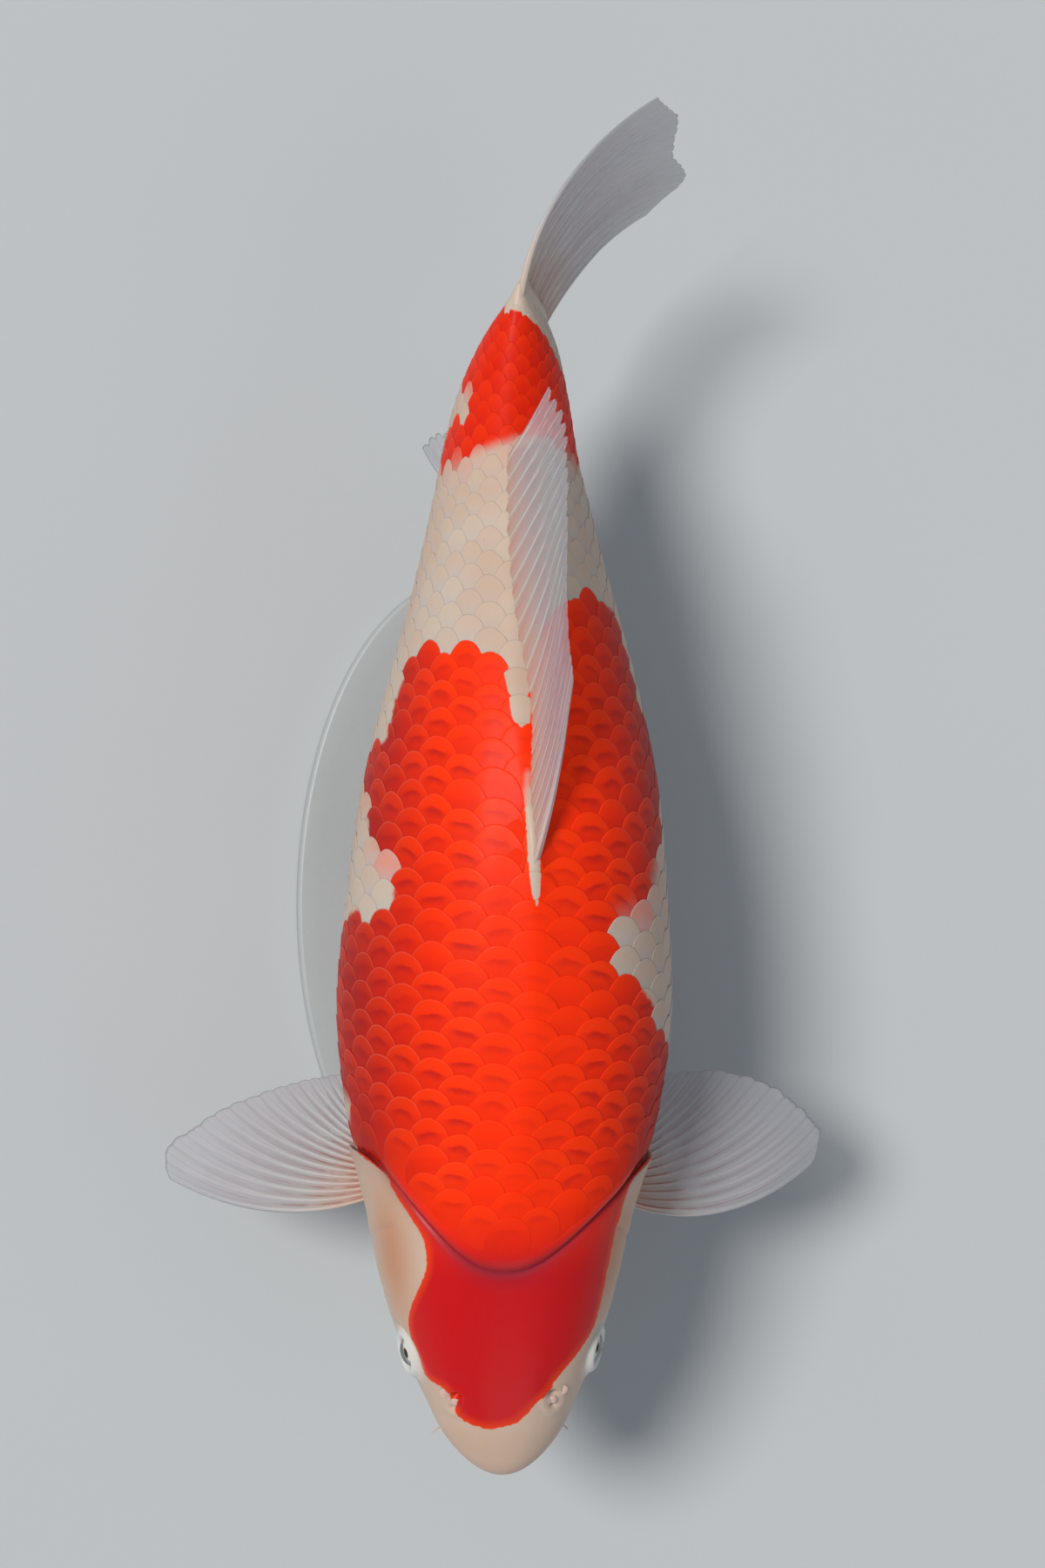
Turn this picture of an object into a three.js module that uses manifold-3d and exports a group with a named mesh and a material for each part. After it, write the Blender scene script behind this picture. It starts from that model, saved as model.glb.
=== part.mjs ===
// Koi carp (Kohaku), a still life-size model on a plain display stand. Millimetres, +Z up.
// The nose points to -Y and the tail to +Y, so +X is the fish's left side. The origin is the
// middle of the stand's underside, on the surface that the stand rests on.
//
// The flesh is one lofted form along a bent spine, parted by thin cuts into head, trunk and tail
// stalk. Each fin is a fan of rays, given by the length and angle of a few of them.
import * as THREE from "three";
import { mergeVertices } from "three/addons/utils/BufferGeometryUtils.js";
import Module from "manifold-3d";

// ---- Driving dimensions -------------------------------------------------------------------------
const AXIS_HEIGHT = 150; // the line from snout to tail root, above the surface
const STAND_STATION = 280; // distance from the snout to the middle of the stand
const SNOUT_SIDESTEP = -3.5; // the snout lies a little to the right of the stand's middle
const START_HEADING = -1; // degrees towards +X
const FLESH_LENGTH = 588; // snout to the end of the scaled tail root
const NOSE_ROUND = 30; // length of the rounded snout
const GAP = 0.3; // between touching pieces

// The roll of the flesh about the spine: each turns the back towards -X by so many degrees. The head's
// roll fades out over the shoulder, and the others grow along the body and the tail fin.
const ROLLS = {
  head: { turn: -6, from: 230, to: 100 },
  body: { turn: -10, from: 230, to: 500 },
  fin: { turn: -13, from: 510, to: 630 },
};

// The spine in plan: runs of straight line and arc, each a length and a turn towards +X in degrees.
const SPINE_RUNS = [
  { length: 90, turn: 0 },
  { length: 60, turn: 2.6 },
  { length: 190, turn: 0 },
  { length: 100, turn: -2.6 },
  { length: 55, turn: 0 },
  { length: 85, turn: 14.3 },
  { length: 150, turn: 67 },
];

// Sections of the flesh, each at a distance from the snout: half width, height of the back and depth
// of the belly from the axis, height of the widest level, and how full the upper and lower halves are
// (2 is an ellipse).
const SECTIONS = [
  { at: 0, wide: 24, back: 21, belly: 15, level: -1, upper: 2.1, lower: 2.1 },
  { at: 14, wide: 28, back: 23, belly: 17, level: -2, upper: 2.2, lower: 2.1 },
  { at: 30, wide: 34, back: 29.5, belly: 23, level: -4, upper: 2.3, lower: 2.1 },
  { at: 60, wide: 47.5, back: 46, belly: 35, level: -8, upper: 2.35, lower: 2.1 },
  { at: 95, wide: 59, back: 61, belly: 47, level: -9, upper: 2.3, lower: 2.1 },
  { at: 130, wide: 66.5, back: 73, belly: 58, level: -8, upper: 2.2, lower: 2.1 },
  { at: 165, wide: 75.5, back: 82.5, belly: 68, level: -6, upper: 2.1, lower: 2.1 },
  { at: 230, wide: 84, back: 92, belly: 81, level: -5, upper: 2.05, lower: 2.15 },
  { at: 290, wide: 80.5, back: 93.5, belly: 85, level: -4, upper: 2, lower: 2.15 },
  { at: 345, wide: 74.5, back: 88.5, belly: 80.5, level: -3, upper: 1.95, lower: 2.1 },
  { at: 400, wide: 62, back: 77, belly: 69.5, level: -2, upper: 1.95, lower: 2.05 },
  { at: 450, wide: 48.5, back: 62.5, belly: 55.5, level: -1, upper: 1.95, lower: 2 },
  { at: 500, wide: 36.5, back: 49.5, belly: 44, level: 0, upper: 1.95, lower: 2 },
  { at: 540, wide: 28, back: 40.5, belly: 37, level: 0, upper: 2, lower: 2 },
  { at: 568, wide: 18, back: 36.5, belly: 34.5, level: 0, upper: 2.1, lower: 2.1 },
  { at: FLESH_LENGTH, wide: 5, back: 37.5, belly: 35.5, level: 0, upper: 2.3, lower: 2.3 },
];

// Where the head ends: nape on top, gill cover's hind edge at the side, throat below.
const HEAD_END = { nape: 111, side: 163, throat: 92, shoulderTurn: 72, lowerPower: 1.1 };
const CUTS = { flank: 315, stalk: 470 }; // where the flank and the tail stalk start

const EYE = { at: 62, side: 40, up: 11, radius: 9.5, brow: 13.5, browInset: 5 };
const GILL_COVER = { top: 50, bottom: 148, width: 46, thick: 4 };

const AROUND = 32; // facets round the flesh
const RINGS = { head: 13, shoulder: 9, flank: 8, stalk: 9 };

// ---- Small helpers ------------------------------------------------------------------------------
const wasm = await Module();
wasm.setup();

const degrees = THREE.MathUtils.degToRad;
const ease = (t) => THREE.MathUtils.smoothstep(t, 0, 1);
const mix = THREE.MathUtils.lerp;

// A smooth curve through rows of numbers: the value at x of the column named key.
function through(rows, key, x) {
  const last = rows.length - 1;
  let i = rows.findIndex((row) => x < row.at) - 1;
  if (i === -2) i = last - 1;
  if (i < 0) i = 0;
  const slope = (j) => {
    const a = rows[Math.max(j - 1, 0)];
    const b = rows[Math.min(j + 1, last)];
    return (b[key] - a[key]) / (b.at - a.at);
  };
  const step = rows[i + 1].at - rows[i].at;
  const t = THREE.MathUtils.clamp((x - rows[i].at) / step, 0, 1);
  const rise = rows[i + 1][key] - rows[i][key];
  const bendIn = slope(i) * step - rise;
  const bendOut = rise - slope(i + 1) * step;
  return rows[i][key] + t * rise + t * (1 - t) * ((1 - t) * bendIn + t * bendOut);
}

// The same for values spread evenly from 0 to 1.
function spread(values, t) {
  const rows = values.map((value, i) => ({ at: i / (values.length - 1), value }));
  return through(rows, "value", t);
}

function solidOf(geometry) {
  const bare = geometry.clone();
  bare.deleteAttribute("normal");
  bare.deleteAttribute("uv");
  const merged = mergeVertices(bare, 1e-4);
  const triVerts = new Uint32Array(merged.index.array);
  const vertProperties = new Float32Array(merged.attributes.position.array);
  return new wasm.Manifold(new wasm.Mesh({ numProp: 3, vertProperties, triVerts }));
}

function geometryOf(solid) {
  const mesh = solid.getMesh();
  const geometry = new THREE.BufferGeometry();
  geometry.setAttribute("position", new THREE.BufferAttribute(mesh.vertProperties, mesh.numProp));
  geometry.setIndex(new THREE.BufferAttribute(mesh.triVerts, 1));
  geometry.computeVertexNormals();
  return geometry;
}

// A cut can leave crumbs: the largest piece is the part.
function largest(solid) {
  return solid.decompose().sort((a, b) => b.volume() - a.volume())[0];
}

// Moves each vertex of a geometry to where place(u, v, w) says, from its own place in a unit shape.
function remap(geometry, place) {
  const position = geometry.attributes.position;
  for (let i = 0; i < position.count; i++) {
    const point = place(position.getX(i), position.getY(i), position.getZ(i), i);
    position.setXYZ(i, point.x, point.y, point.z);
  }
  return geometry;
}

// ---- Spine and flesh ----------------------------------------------------------------------------
function spineAt(station) {
  let left = station;
  let heading = degrees(START_HEADING);
  const spot = { x: SNOUT_SIDESTEP, y: -STAND_STATION };
  for (const run of SPINE_RUNS) {
    const d = THREE.MathUtils.clamp(left, 0, run.length);
    const bend = degrees(run.turn) / run.length;
    if (bend === 0) {
      spot.x += d * Math.sin(heading);
      spot.y += d * Math.cos(heading);
    } else {
      spot.x += (Math.cos(heading) - Math.cos(heading + bend * d)) / bend;
      spot.y += (Math.sin(heading + bend * d) - Math.sin(heading)) / bend;
    }
    heading += bend * d;
    left -= d;
  }
  return { ...spot, heading };
}

function twistAt(station) {
  const shares = Object.values(ROLLS).map(
    ({ turn, from, to }) => turn * ease((station - from) / (to - from)),
  );
  return degrees(shares.reduce((sum, share) => sum + share, 0));
}

// A point beside the spine: side is towards +X and up is towards the back.
function beside(station, side, up) {
  const { x, y, heading } = spineAt(station);
  const twist = twistAt(station);
  const out = side * Math.cos(twist) + up * Math.sin(twist);
  const high = up * Math.cos(twist) - side * Math.sin(twist);
  const across = new THREE.Vector3(Math.cos(heading), -Math.sin(heading), 0);
  return new THREE.Vector3(x, y, AXIS_HEIGHT + high).addScaledVector(across, out);
}

function sectionAt(station, grow = 0) {
  const bare = (key) => through(SECTIONS, key, station);
  const inNose = THREE.MathUtils.clamp(station / NOSE_ROUND, 0, 1);
  const nose = Math.sqrt(1 - (1 - inNose) ** 2);
  return {
    wide: bare("wide") * nose + grow,
    back: bare("back") * nose + grow,
    belly: bare("belly") * nose + grow,
    level: bare("level") * nose,
    upper: bare("upper"),
    lower: bare("lower"),
  };
}

// The flesh's surface. turn is 0 on the back, 90 degrees on the fish's left and 180 on the belly.
function skin(station, turn, grow = 0) {
  const s = sectionAt(station, grow);
  const c = Math.cos(turn);
  const power = 2 / (c > 0 ? s.upper : s.lower);
  const reach = c > 0 ? s.back - s.level : s.belly + s.level;
  const side = s.wide * Math.sign(Math.sin(turn)) * Math.abs(Math.sin(turn)) ** power;
  const up = s.level + reach * Math.sign(c) * Math.abs(c) ** power;
  return beside(station, side, up);
}

function headEnd(turn) {
  const c = Math.cos(turn);
  const d = Math.abs(Math.sin(turn));
  const aside = THREE.MathUtils.radToDeg(Math.atan2(d, c));
  if (c > 0) return mix(HEAD_END.nape, HEAD_END.side, ease(aside / HEAD_END.shoulderTurn));
  return mix(HEAD_END.throat, HEAD_END.side, d ** HEAD_END.lowerPower);
}

// A closed length of flesh between two edges, each a function of turn. Rows of a sphere become rings
// of the loft, and its poles become the middles of the two end faces.
function fleshBetween(startEdge, endEdge, rings, grow = 0, curve = (t) => t) {
  const rows = rings + 2;
  const sphere = new THREE.SphereGeometry(1, AROUND, rows);
  const columns = AROUND + 1;
  return remap(sphere, (x, y, z, i) => {
    const row = Math.floor(i / columns);
    const turn = (-2 * Math.PI * (i % columns)) / AROUND;
    const middle = (edge) => beside((edge(Math.PI / 2) + edge(0)) / 2, 0, 0);
    if (row === 0) return startEdge(0) <= 0 ? beside(0, 0, 0) : middle(startEdge);
    if (row === rows) return middle(endEdge);
    const along = curve((row - 1) / rings);
    return skin(mix(Math.max(startEdge(turn), 0.25), endEdge(turn), along), turn, grow);
  });
}

const flat = (station) => () => station;
const nosePacked = (t) => t ** 1.7; // rings crowd towards the snout
const wholeFish = solidOf(fleshBetween(flat(0), flat(FLESH_LENGTH), 44, GAP, nosePacked));

const headBlank = solidOf(fleshBetween(flat(0), (a) => headEnd(a) - GAP / 2, RINGS.head, 0, nosePacked));
const shoulder = solidOf(
  fleshBetween((a) => headEnd(a) + GAP / 2, flat(CUTS.flank - GAP / 2), RINGS.shoulder),
);
const flank = solidOf(
  fleshBetween(flat(CUTS.flank + GAP / 2), flat(CUTS.stalk - GAP / 2), RINGS.flank),
);
const stalk = solidOf(fleshBetween(flat(CUTS.stalk + GAP / 2), flat(FLESH_LENGTH), RINGS.stalk));

// ---- Head ---------------------------------------------------------------------------------------
function ball(centre, radius, around, down) {
  const sphere = new THREE.SphereGeometry(radius, around, down);
  return solidOf(sphere.translate(centre.x, centre.y, centre.z));
}

function eyeball(sign, grow = 0) {
  return ball(beside(EYE.at, sign * EYE.side, EYE.up), EYE.radius + grow, 16, 10);
}

function brow(sign) {
  return ball(beside(EYE.at, sign * (EYE.side - EYE.browInset), EYE.up - 1), EYE.brow, 12, 8);
}

// A plate on the head's side, reaching past the skin and past the head's hind edge. Its share inside
// the head is the gill cover, and grow widens it into the hole that the cover fills.
function gillPlate(sign, grow = 0) {
  const plate = new THREE.BoxGeometry(1, 1, 1, 2, 9, 1);
  return solidOf(
    remap(plate, (x, y, z) => {
      const down = 0.5 - y;
      const share = mix(-grow / 80, 1 + grow / 80, down);
      const turn = sign * degrees(mix(GILL_COVER.top, GILL_COVER.bottom, share));
      const width = GILL_COVER.width * (0.35 + 0.65 * Math.abs(Math.sin(Math.PI * down)) ** 0.6);
      const station = mix(headEnd(turn) - width - grow, headEnd(turn) + 3, sign * x + 0.5);
      return skin(station, turn, z > 0 ? 3 : -GILL_COVER.thick - grow);
    }),
  );
}

// A tapered round rod along a curve.
function taperedRod(points, startRadius, endRadius, sides = 8, steps = 10) {
  const curve = new THREE.CatmullRomCurve3(points);
  const frames = curve.computeFrenetFrames(steps, false);
  const rod = new THREE.CylinderGeometry(1, 1, 1, sides, steps);
  return solidOf(
    remap(rod, (x, y, z) => {
      const step = Math.round((0.5 + y) * steps);
      const radius = mix(startRadius, endRadius, step / steps);
      const across = frames.normals[step].clone().multiplyScalar(z * radius);
      const along = frames.binormals[step].clone().multiplyScalar(x * radius);
      return curve.getPointAt(step / steps).add(across).add(along);
    }),
  );
}

// Lips: thick arcs round the mouth, which opens just under the tip of the snout.
const LIPS = {
  upper: { front: 6, back: 22, half: 19, up: -8, drop: 8, radius: 3.2 },
  lower: { front: 9, back: 18, half: 14.5, up: -13.8, drop: 8, radius: 2.8 },
};

function lip({ front, back, half, up, drop, radius }, grow = 0) {
  const points = [];
  for (let i = 0; i <= 12; i++) {
    const angle = degrees(mix(-84, 84, i / 12));
    const pull = 1 - Math.cos(angle);
    points.push(beside(front + back * pull, half * Math.sin(angle), up - drop * pull));
  }
  return taperedRod(points, radius + grow, radius + grow, 8, 12);
}

// Feelers: a short pair on the upper lip and a longer pair at the corners of the mouth.
const FEELERS = {
  front: { at: 12, side: 18, up: -14, reach: [9, 2, -4], radius: 1.1 },
  corner: { at: 21, side: 22, up: -20, reach: [13, -3, -5], radius: 1.5 },
};

function feeler({ at, side, up, reach, radius }, sign) {
  const [out, aft, rise] = reach;
  const spot = (t) => beside(at + aft * t * t * 2, sign * (side + out * t), up + rise * t * (1.6 - t));
  const points = [-0.25, 0.15, 0.4, 0.7, 1].map(spot);
  return taperedRod(points, radius, 0.45, 6, 6);
}

// ---- Fins ---------------------------------------------------------------------------------------
// A fin is a sheet: v runs across its rays from the leading one to the last, u along a ray. The
// sheet's thickness falls from root to rim.
function fin(sheet, { root = 3.2, rim = 0.9, rays = 12, steps = 5 }) {
  const box = new THREE.BoxGeometry(1, 1, 1, rays, steps, 1);
  const solid = solidOf(
    remap(box, (x, y, z) => {
      const v = x + 0.5;
      const u = y + 0.5;
      const e = 1e-3;
      const across = sheet(u, v + e).sub(sheet(u, v - e));
      const along = sheet(u + e, v).sub(sheet(u - e, v));
      const normal = across.cross(along).normalize();
      const thick = mix(root, rim, Math.min(1, 1.25 * u));
      return sheet(u, v).addScaledVector(normal, z * thick);
    }),
  );
  return largest(solid.subtract(wholeFish));
}

// A ray in its own plane: it leaves at an angle and bends evenly along its length.
function rayPoint(length, angle, bend, u) {
  const chord = degrees(angle + (bend * u) / 2);
  return { a: length * u * Math.cos(chord), b: length * u * Math.sin(chord) };
}

// A paired fin: rays fan from a short root line. out and aft span its plane, droop and pitch tilt it.
function pairedFin(sign, f) {
  const frameOut = new THREE.Vector3(sign * Math.cos(degrees(f.droop)), 0, -Math.sin(degrees(f.droop)));
  const pitch = degrees(f.pitch);
  const frameAft = new THREE.Vector3(0, Math.cos(pitch), -Math.sin(pitch));
  const frameUp = frameOut.clone().cross(frameAft).multiplyScalar(sign);
  return (u, v) => {
    const turn = sign * degrees(mix(f.turn[0], f.turn[1], v));
    const point = skin(mix(f.root[0], f.root[1], v), turn, -f.inset);
    const ray = rayPoint(spread(f.lengths, v), spread(f.angles, v), spread(f.bends, v), u);
    const cup = f.cup * Math.sin(Math.PI * Math.min(v, 1)) * u * u;
    point.addScaledVector(frameOut, ray.a).addScaledVector(frameAft, ray.b);
    return point.addScaledVector(frameUp, cup);
  };
}

// A middle fin stands on the back or belly. Its rays rise at an angle to the spine and lean aside.
function middleFin(f) {
  return (u, v) => {
    const station = mix(f.root[0], f.root[1], v);
    const s = sectionAt(station);
    const foot = f.below ? -s.belly + f.inset : s.back - f.inset;
    const ray = rayPoint(spread(f.lengths, v), spread(f.angles, v), spread(f.bends, v), u);
    const lean = degrees(spread(f.leans, v));
    const rise = f.below ? -ray.b : ray.b;
    return beside(station + ray.a, ray.b * Math.sin(lean), foot + rise * Math.cos(lean));
  };
}

const FINS = {
  pectoralRight: {
    root: [138, 163], turn: [119, 124], inset: 7, droop: 8, pitch: 20, cup: 4,
    lengths: [113, 94, 72, 55, 42], angles: [-27, -10, 8, 28, 48], bends: [62, 50, 39, 30, 20],
  },
  pectoralLeft: {
    root: [138, 163], turn: [119, 124], inset: 7, droop: 10, pitch: 8, cup: 4,
    lengths: [124, 111, 91, 68, 41], angles: [-33, -14, 8, 26, 44], bends: [78, 60, 42, 28, 16],
  },
  pelvic: {
    root: [286, 306], turn: [154, 160], inset: 6, droop: 42, pitch: 6, cup: 3,
    lengths: [80, 79, 73, 63, 50], angles: [58, 65, 73, 81, 88], bends: [14, 8, 4, 0, 0],
  },
  dorsal: {
    root: [295, 497], inset: 7, below: false,
    lengths: [108, 88, 82, 73, 68, 63, 50], angles: [27, 33, 33, 35, 37, 38, 42],
    bends: [-10, -10, -10, -10, -10, -8, -8], leans: [20, 20, 30, 41, 48, 54, 52],
  },
  anal: {
    root: [450, 490], inset: 7, below: true,
    lengths: [94, 86, 73, 60, 48], angles: [44, 42, 41, 40, 40],
    bends: [-10, -10, -10, -8, -6], leans: [-58, -58, -56, -54, -52],
  },
};

// The tail fin: rays leave the end of the stalk in a fan, and follow the spine's bend.
const TAIL_FIN = {
  root: 570, top: 34, bottom: -32.5,
  lengths: [124, 130, 120, 127, 112], angles: [11, 4, -3, -9, -15], bends: [-4, 0, 0, 0, 4],
};

function tailFin(from, to) {
  return (u, v) => {
    const w = mix(from, to, v);
    const f = TAIL_FIN;
    const ray = rayPoint(spread(f.lengths, w), spread(f.angles, w), spread(f.bends, w), u);
    return beside(f.root + ray.a, 0, mix(f.top, f.bottom, w) + ray.b);
  };
}

// ---- Stand --------------------------------------------------------------------------------------
const STAND = { length: 360, width: 190, thick: 12, edge: 2 };
const ROD = { radius: 5, collarRadius: 11, collarHeight: 6 };
const ROD_STATIONS = { front: STAND_STATION - 100, rear: STAND_STATION + 100 };

function standBase() {
  const outline = new THREE.Shape();
  const inset = STAND.edge;
  outline.absellipse(0, 0, STAND.width / 2 - inset, STAND.length / 2 - inset, 0, 2 * Math.PI);
  const options = {
    depth: STAND.thick - 2 * inset,
    bevelThickness: inset,
    bevelSize: inset,
    bevelSegments: 2,
    curveSegments: 16,
  };
  return solidOf(new THREE.ExtrudeGeometry(outline, options).translate(0, 0, inset));
}

function standRod(station) {
  const foot = STAND.thick + GAP;
  const height = AXIS_HEIGHT - foot;
  const { x, y } = spineAt(station);
  const rod = new THREE.CylinderGeometry(ROD.radius, ROD.radius, height, 20);
  const stood = rod.rotateX(Math.PI / 2).translate(x, y, foot + height / 2);
  return largest(solidOf(stood).subtract(wholeFish));
}

function standCollar(station) {
  const { x, y } = spineAt(station);
  const inner = ROD.radius + GAP;
  const profile = [
    new THREE.Vector2(inner, 0),
    new THREE.Vector2(ROD.collarRadius, 0),
    new THREE.Vector2(ROD.collarRadius, ROD.collarHeight - 2),
    new THREE.Vector2(ROD.collarRadius - 2, ROD.collarHeight),
    new THREE.Vector2(inner, ROD.collarHeight),
    new THREE.Vector2(inner, 0),
  ];
  const ring = new THREE.LatheGeometry(profile, 14).rotateX(Math.PI / 2);
  return solidOf(ring.translate(x, y, STAND.thick + GAP));
}

// ---- Materials ----------------------------------------------------------------------------------
const material = (color, roughness, metalness = 0) =>
  new THREE.MeshStandardMaterial({ color, roughness, metalness });
const WHITE_SKIN = material(0xe9dccd, 0.4);
const RED_SKIN = material(0xe63a1c, 0.4);
const FIN = material(0xdcdcd8, 0.45);
const EYE_GLOSS = material(0x1c1a1a, 0.1);
const GREY_PAINT = material(0xd6d6d2, 0.5);
const STEEL = material(0xb9bcc0, 0.3, 1);

// ---- Assembly -----------------------------------------------------------------------------------
const koi = new THREE.Group();

function add(name, solid, finish) {
  const mesh = new THREE.Mesh(geometryOf(solid), finish);
  mesh.name = name;
  koi.add(mesh);
}

const SIDES = [
  { name: "left", sign: 1 },
  { name: "right", sign: -1 },
];

let head = headBlank;
for (const { sign } of SIDES) {
  head = head.add(brow(sign)).subtract(eyeball(sign, GAP)).subtract(gillPlate(sign, GAP));
}
for (const which of ["upper", "lower"]) {
  head = head.subtract(lip(LIPS[which], GAP));
  add(`lip_${which}`, lip(LIPS[which]), WHITE_SKIN);
}

for (const { name, sign } of SIDES) {
  add(`eye_${name}`, eyeball(sign), EYE_GLOSS);
  add(`gill_cover_${name}`, gillPlate(sign).intersect(headBlank), WHITE_SKIN);
  for (const place of ["front", "corner"]) {
    const whisker = feeler(FEELERS[place], sign);
    const clear = whisker.subtract(lip(LIPS.upper, GAP)).subtract(lip(LIPS.lower, GAP));
    add(`barbel_${place}_${name}`, largest(clear.subtract(wholeFish)), WHITE_SKIN);
  }
  add(`pelvic_fin_${name}`, fin(pairedFin(sign, FINS.pelvic), { rays: 8 }), FIN);
}
add("head", largest(head), RED_SKIN);
add("shoulder", shoulder, RED_SKIN);
add("flank", flank, WHITE_SKIN);
add("tail_stalk", stalk, RED_SKIN);
add("pectoral_fin_left", fin(pairedFin(1, FINS.pectoralLeft), {}), FIN);
add("pectoral_fin_right", fin(pairedFin(-1, FINS.pectoralRight), {}), FIN);
add("dorsal_fin", fin(middleFin(FINS.dorsal), { rays: 16 }), FIN);
add("anal_fin", fin(middleFin(FINS.anal), { rays: 8 }), FIN);
add("tail_fin_upper", fin(tailFin(0, 0.497), { root: 4, rays: 8, steps: 7 }), FIN);
add("tail_fin_lower", fin(tailFin(0.503, 1), { root: 4, rays: 8, steps: 7 }), FIN);

add("stand_base", standBase(), GREY_PAINT);
for (const [place, station] of Object.entries(ROD_STATIONS)) {
  add(`stand_rod_${place}`, standRod(station), STEEL);
  add(`stand_collar_${place}`, standCollar(station), STEEL);
}

export default koi;
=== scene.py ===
"""Koi carp (Kohaku), a still life-size model: skin, scales, eyes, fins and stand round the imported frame.

Laid out as an add-on and run as a script. Lengths are in millimetres, as on a drawing, and turn to
metres where a mesh is made. A station is a distance from the snout along the spine; a turn is an angle
round the body, 0 on the back, 90 degrees on the fish's left and 180 on the belly.
"""

import math

import bpy
import numpy as np
from bpy.props import FloatProperty, FloatVectorProperty, IntProperty, PointerProperty
from mathutils import Matrix, Vector


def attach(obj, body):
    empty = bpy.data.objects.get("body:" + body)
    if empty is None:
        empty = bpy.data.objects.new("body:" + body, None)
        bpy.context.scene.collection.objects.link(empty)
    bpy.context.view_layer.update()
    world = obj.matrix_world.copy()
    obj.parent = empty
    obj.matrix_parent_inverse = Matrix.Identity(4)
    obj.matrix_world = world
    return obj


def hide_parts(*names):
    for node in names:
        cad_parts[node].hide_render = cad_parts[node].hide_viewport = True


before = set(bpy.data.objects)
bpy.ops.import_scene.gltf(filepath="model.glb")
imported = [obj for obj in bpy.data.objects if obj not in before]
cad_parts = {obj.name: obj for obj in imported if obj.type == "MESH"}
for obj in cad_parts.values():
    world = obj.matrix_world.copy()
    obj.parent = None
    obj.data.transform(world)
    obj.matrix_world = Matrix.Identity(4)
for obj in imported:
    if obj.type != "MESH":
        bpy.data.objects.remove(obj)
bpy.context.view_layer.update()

bl_info = {
    "name": "Koi Carp Model",
    "version": (1, 0, 0),
    "blender": (4, 5, 0),
    "location": "3D View > Sidebar > Koi",
    "description": "Builds a still, life-size koi carp on a plain display stand",
    "category": "Add Mesh",
}

MM = 0.001
SIDES = {"left": 1, "right": -1}

# ---- The flesh: the same spine and sections as the frame's ---------------------------------------
AXIS_HEIGHT = 150.0
STAND_STATION = 280.0
SNOUT_SIDESTEP = -3.5
START_HEADING = math.radians(-1)
FLESH_LENGTH = 588.0
NOSE_ROUND = 30.0
ROLLS = ((-6, 230, 100), (-10, 230, 500), (-13, 510, 630))  # degrees, from and to a station
SPINE_RUNS = ((90, 0), (60, 2.6), (190, 0), (100, -2.6), (55, 0), (85, 14.3), (150, 67))  # length, turn

# Station, half width, height of the back, depth of the belly, level of the widest line, and how full
# the upper and lower halves are.
SECTIONS = np.array(
    (
        (0, 24, 21, 15, -1, 2.1, 2.1),
        (14, 28, 23, 17, -2, 2.2, 2.1),
        (30, 34, 29.5, 23, -4, 2.3, 2.1),
        (60, 47.5, 46, 35, -8, 2.35, 2.1),
        (95, 59, 61, 47, -9, 2.3, 2.1),
        (130, 66.5, 73, 58, -8, 2.2, 2.1),
        (165, 75.5, 82.5, 68, -6, 2.1, 2.1),
        (230, 84, 92, 81, -5, 2.05, 2.15),
        (290, 80.5, 93.5, 85, -4, 2, 2.15),
        (345, 74.5, 88.5, 80.5, -3, 1.95, 2.1),
        (400, 62, 77, 69.5, -2, 1.95, 2.05),
        (450, 48.5, 62.5, 55.5, -1, 1.95, 2),
        (500, 36.5, 49.5, 44, 0, 1.95, 2),
        (540, 28, 40.5, 37, 0, 2, 2),
        (568, 18, 36.5, 34.5, 0, 2.1, 2.1),
        (FLESH_LENGTH, 5, 37.5, 35.5, 0, 2.3, 2.3),
    )
)
TAIL_FAIRING = 7.0  # the last flesh thins out over the roots of the tail rays

NAPE, GILL_EDGE, THROAT = 111.0, 163.0, 92.0  # stations where the head ends: top, side, below
SHOULDER_TURN = math.radians(72)
THROAT_POWER = 1.1


def ease(t):
    t = np.clip(t, 0, 1)
    return t * t * (3 - 2 * t)


def mix(a, b, t):
    return a + (b - a) * t


def bump(distance, width):
    return np.exp(-((distance / width) ** 2))


def through(at, values, x):
    """A smooth curve through values given at some places, read at x."""
    at, values, x = (np.asarray(v, float) for v in (at, values, x))
    slope = np.empty_like(values)
    slope[1:-1] = (values[2:] - values[:-2]) / (at[2:] - at[:-2])
    slope[0] = (values[1] - values[0]) / (at[1] - at[0])
    slope[-1] = (values[-1] - values[-2]) / (at[-1] - at[-2])
    i = np.clip(np.searchsorted(at, x, side="right") - 1, 0, len(at) - 2)
    step = at[i + 1] - at[i]
    t = np.clip((x - at[i]) / step, 0, 1)
    rise = values[i + 1] - values[i]
    bends = (1 - t) * (slope[i] * step - rise) + t * (rise - slope[i + 1] * step)
    return values[i] + t * rise + t * (1 - t) * bends


def spread(values, t):
    return through(np.linspace(0, 1, len(values)), values, t)


def spine_at(station):
    left = np.asarray(station, float)
    heading = np.full(left.shape, START_HEADING)
    x = np.full(left.shape, SNOUT_SIDESTEP)
    y = np.full(left.shape, -STAND_STATION)
    for length, turn in SPINE_RUNS:
        d = np.clip(left, 0, length)
        bend = math.radians(turn) / length
        if bend == 0:
            x = x + d * np.sin(heading)
            y = y + d * np.cos(heading)
        else:
            x = x + (np.cos(heading) - np.cos(heading + bend * d)) / bend
            y = y + (np.sin(heading + bend * d) - np.sin(heading)) / bend
        heading = heading + bend * d
        left = left - d
    return x, y, heading


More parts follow.
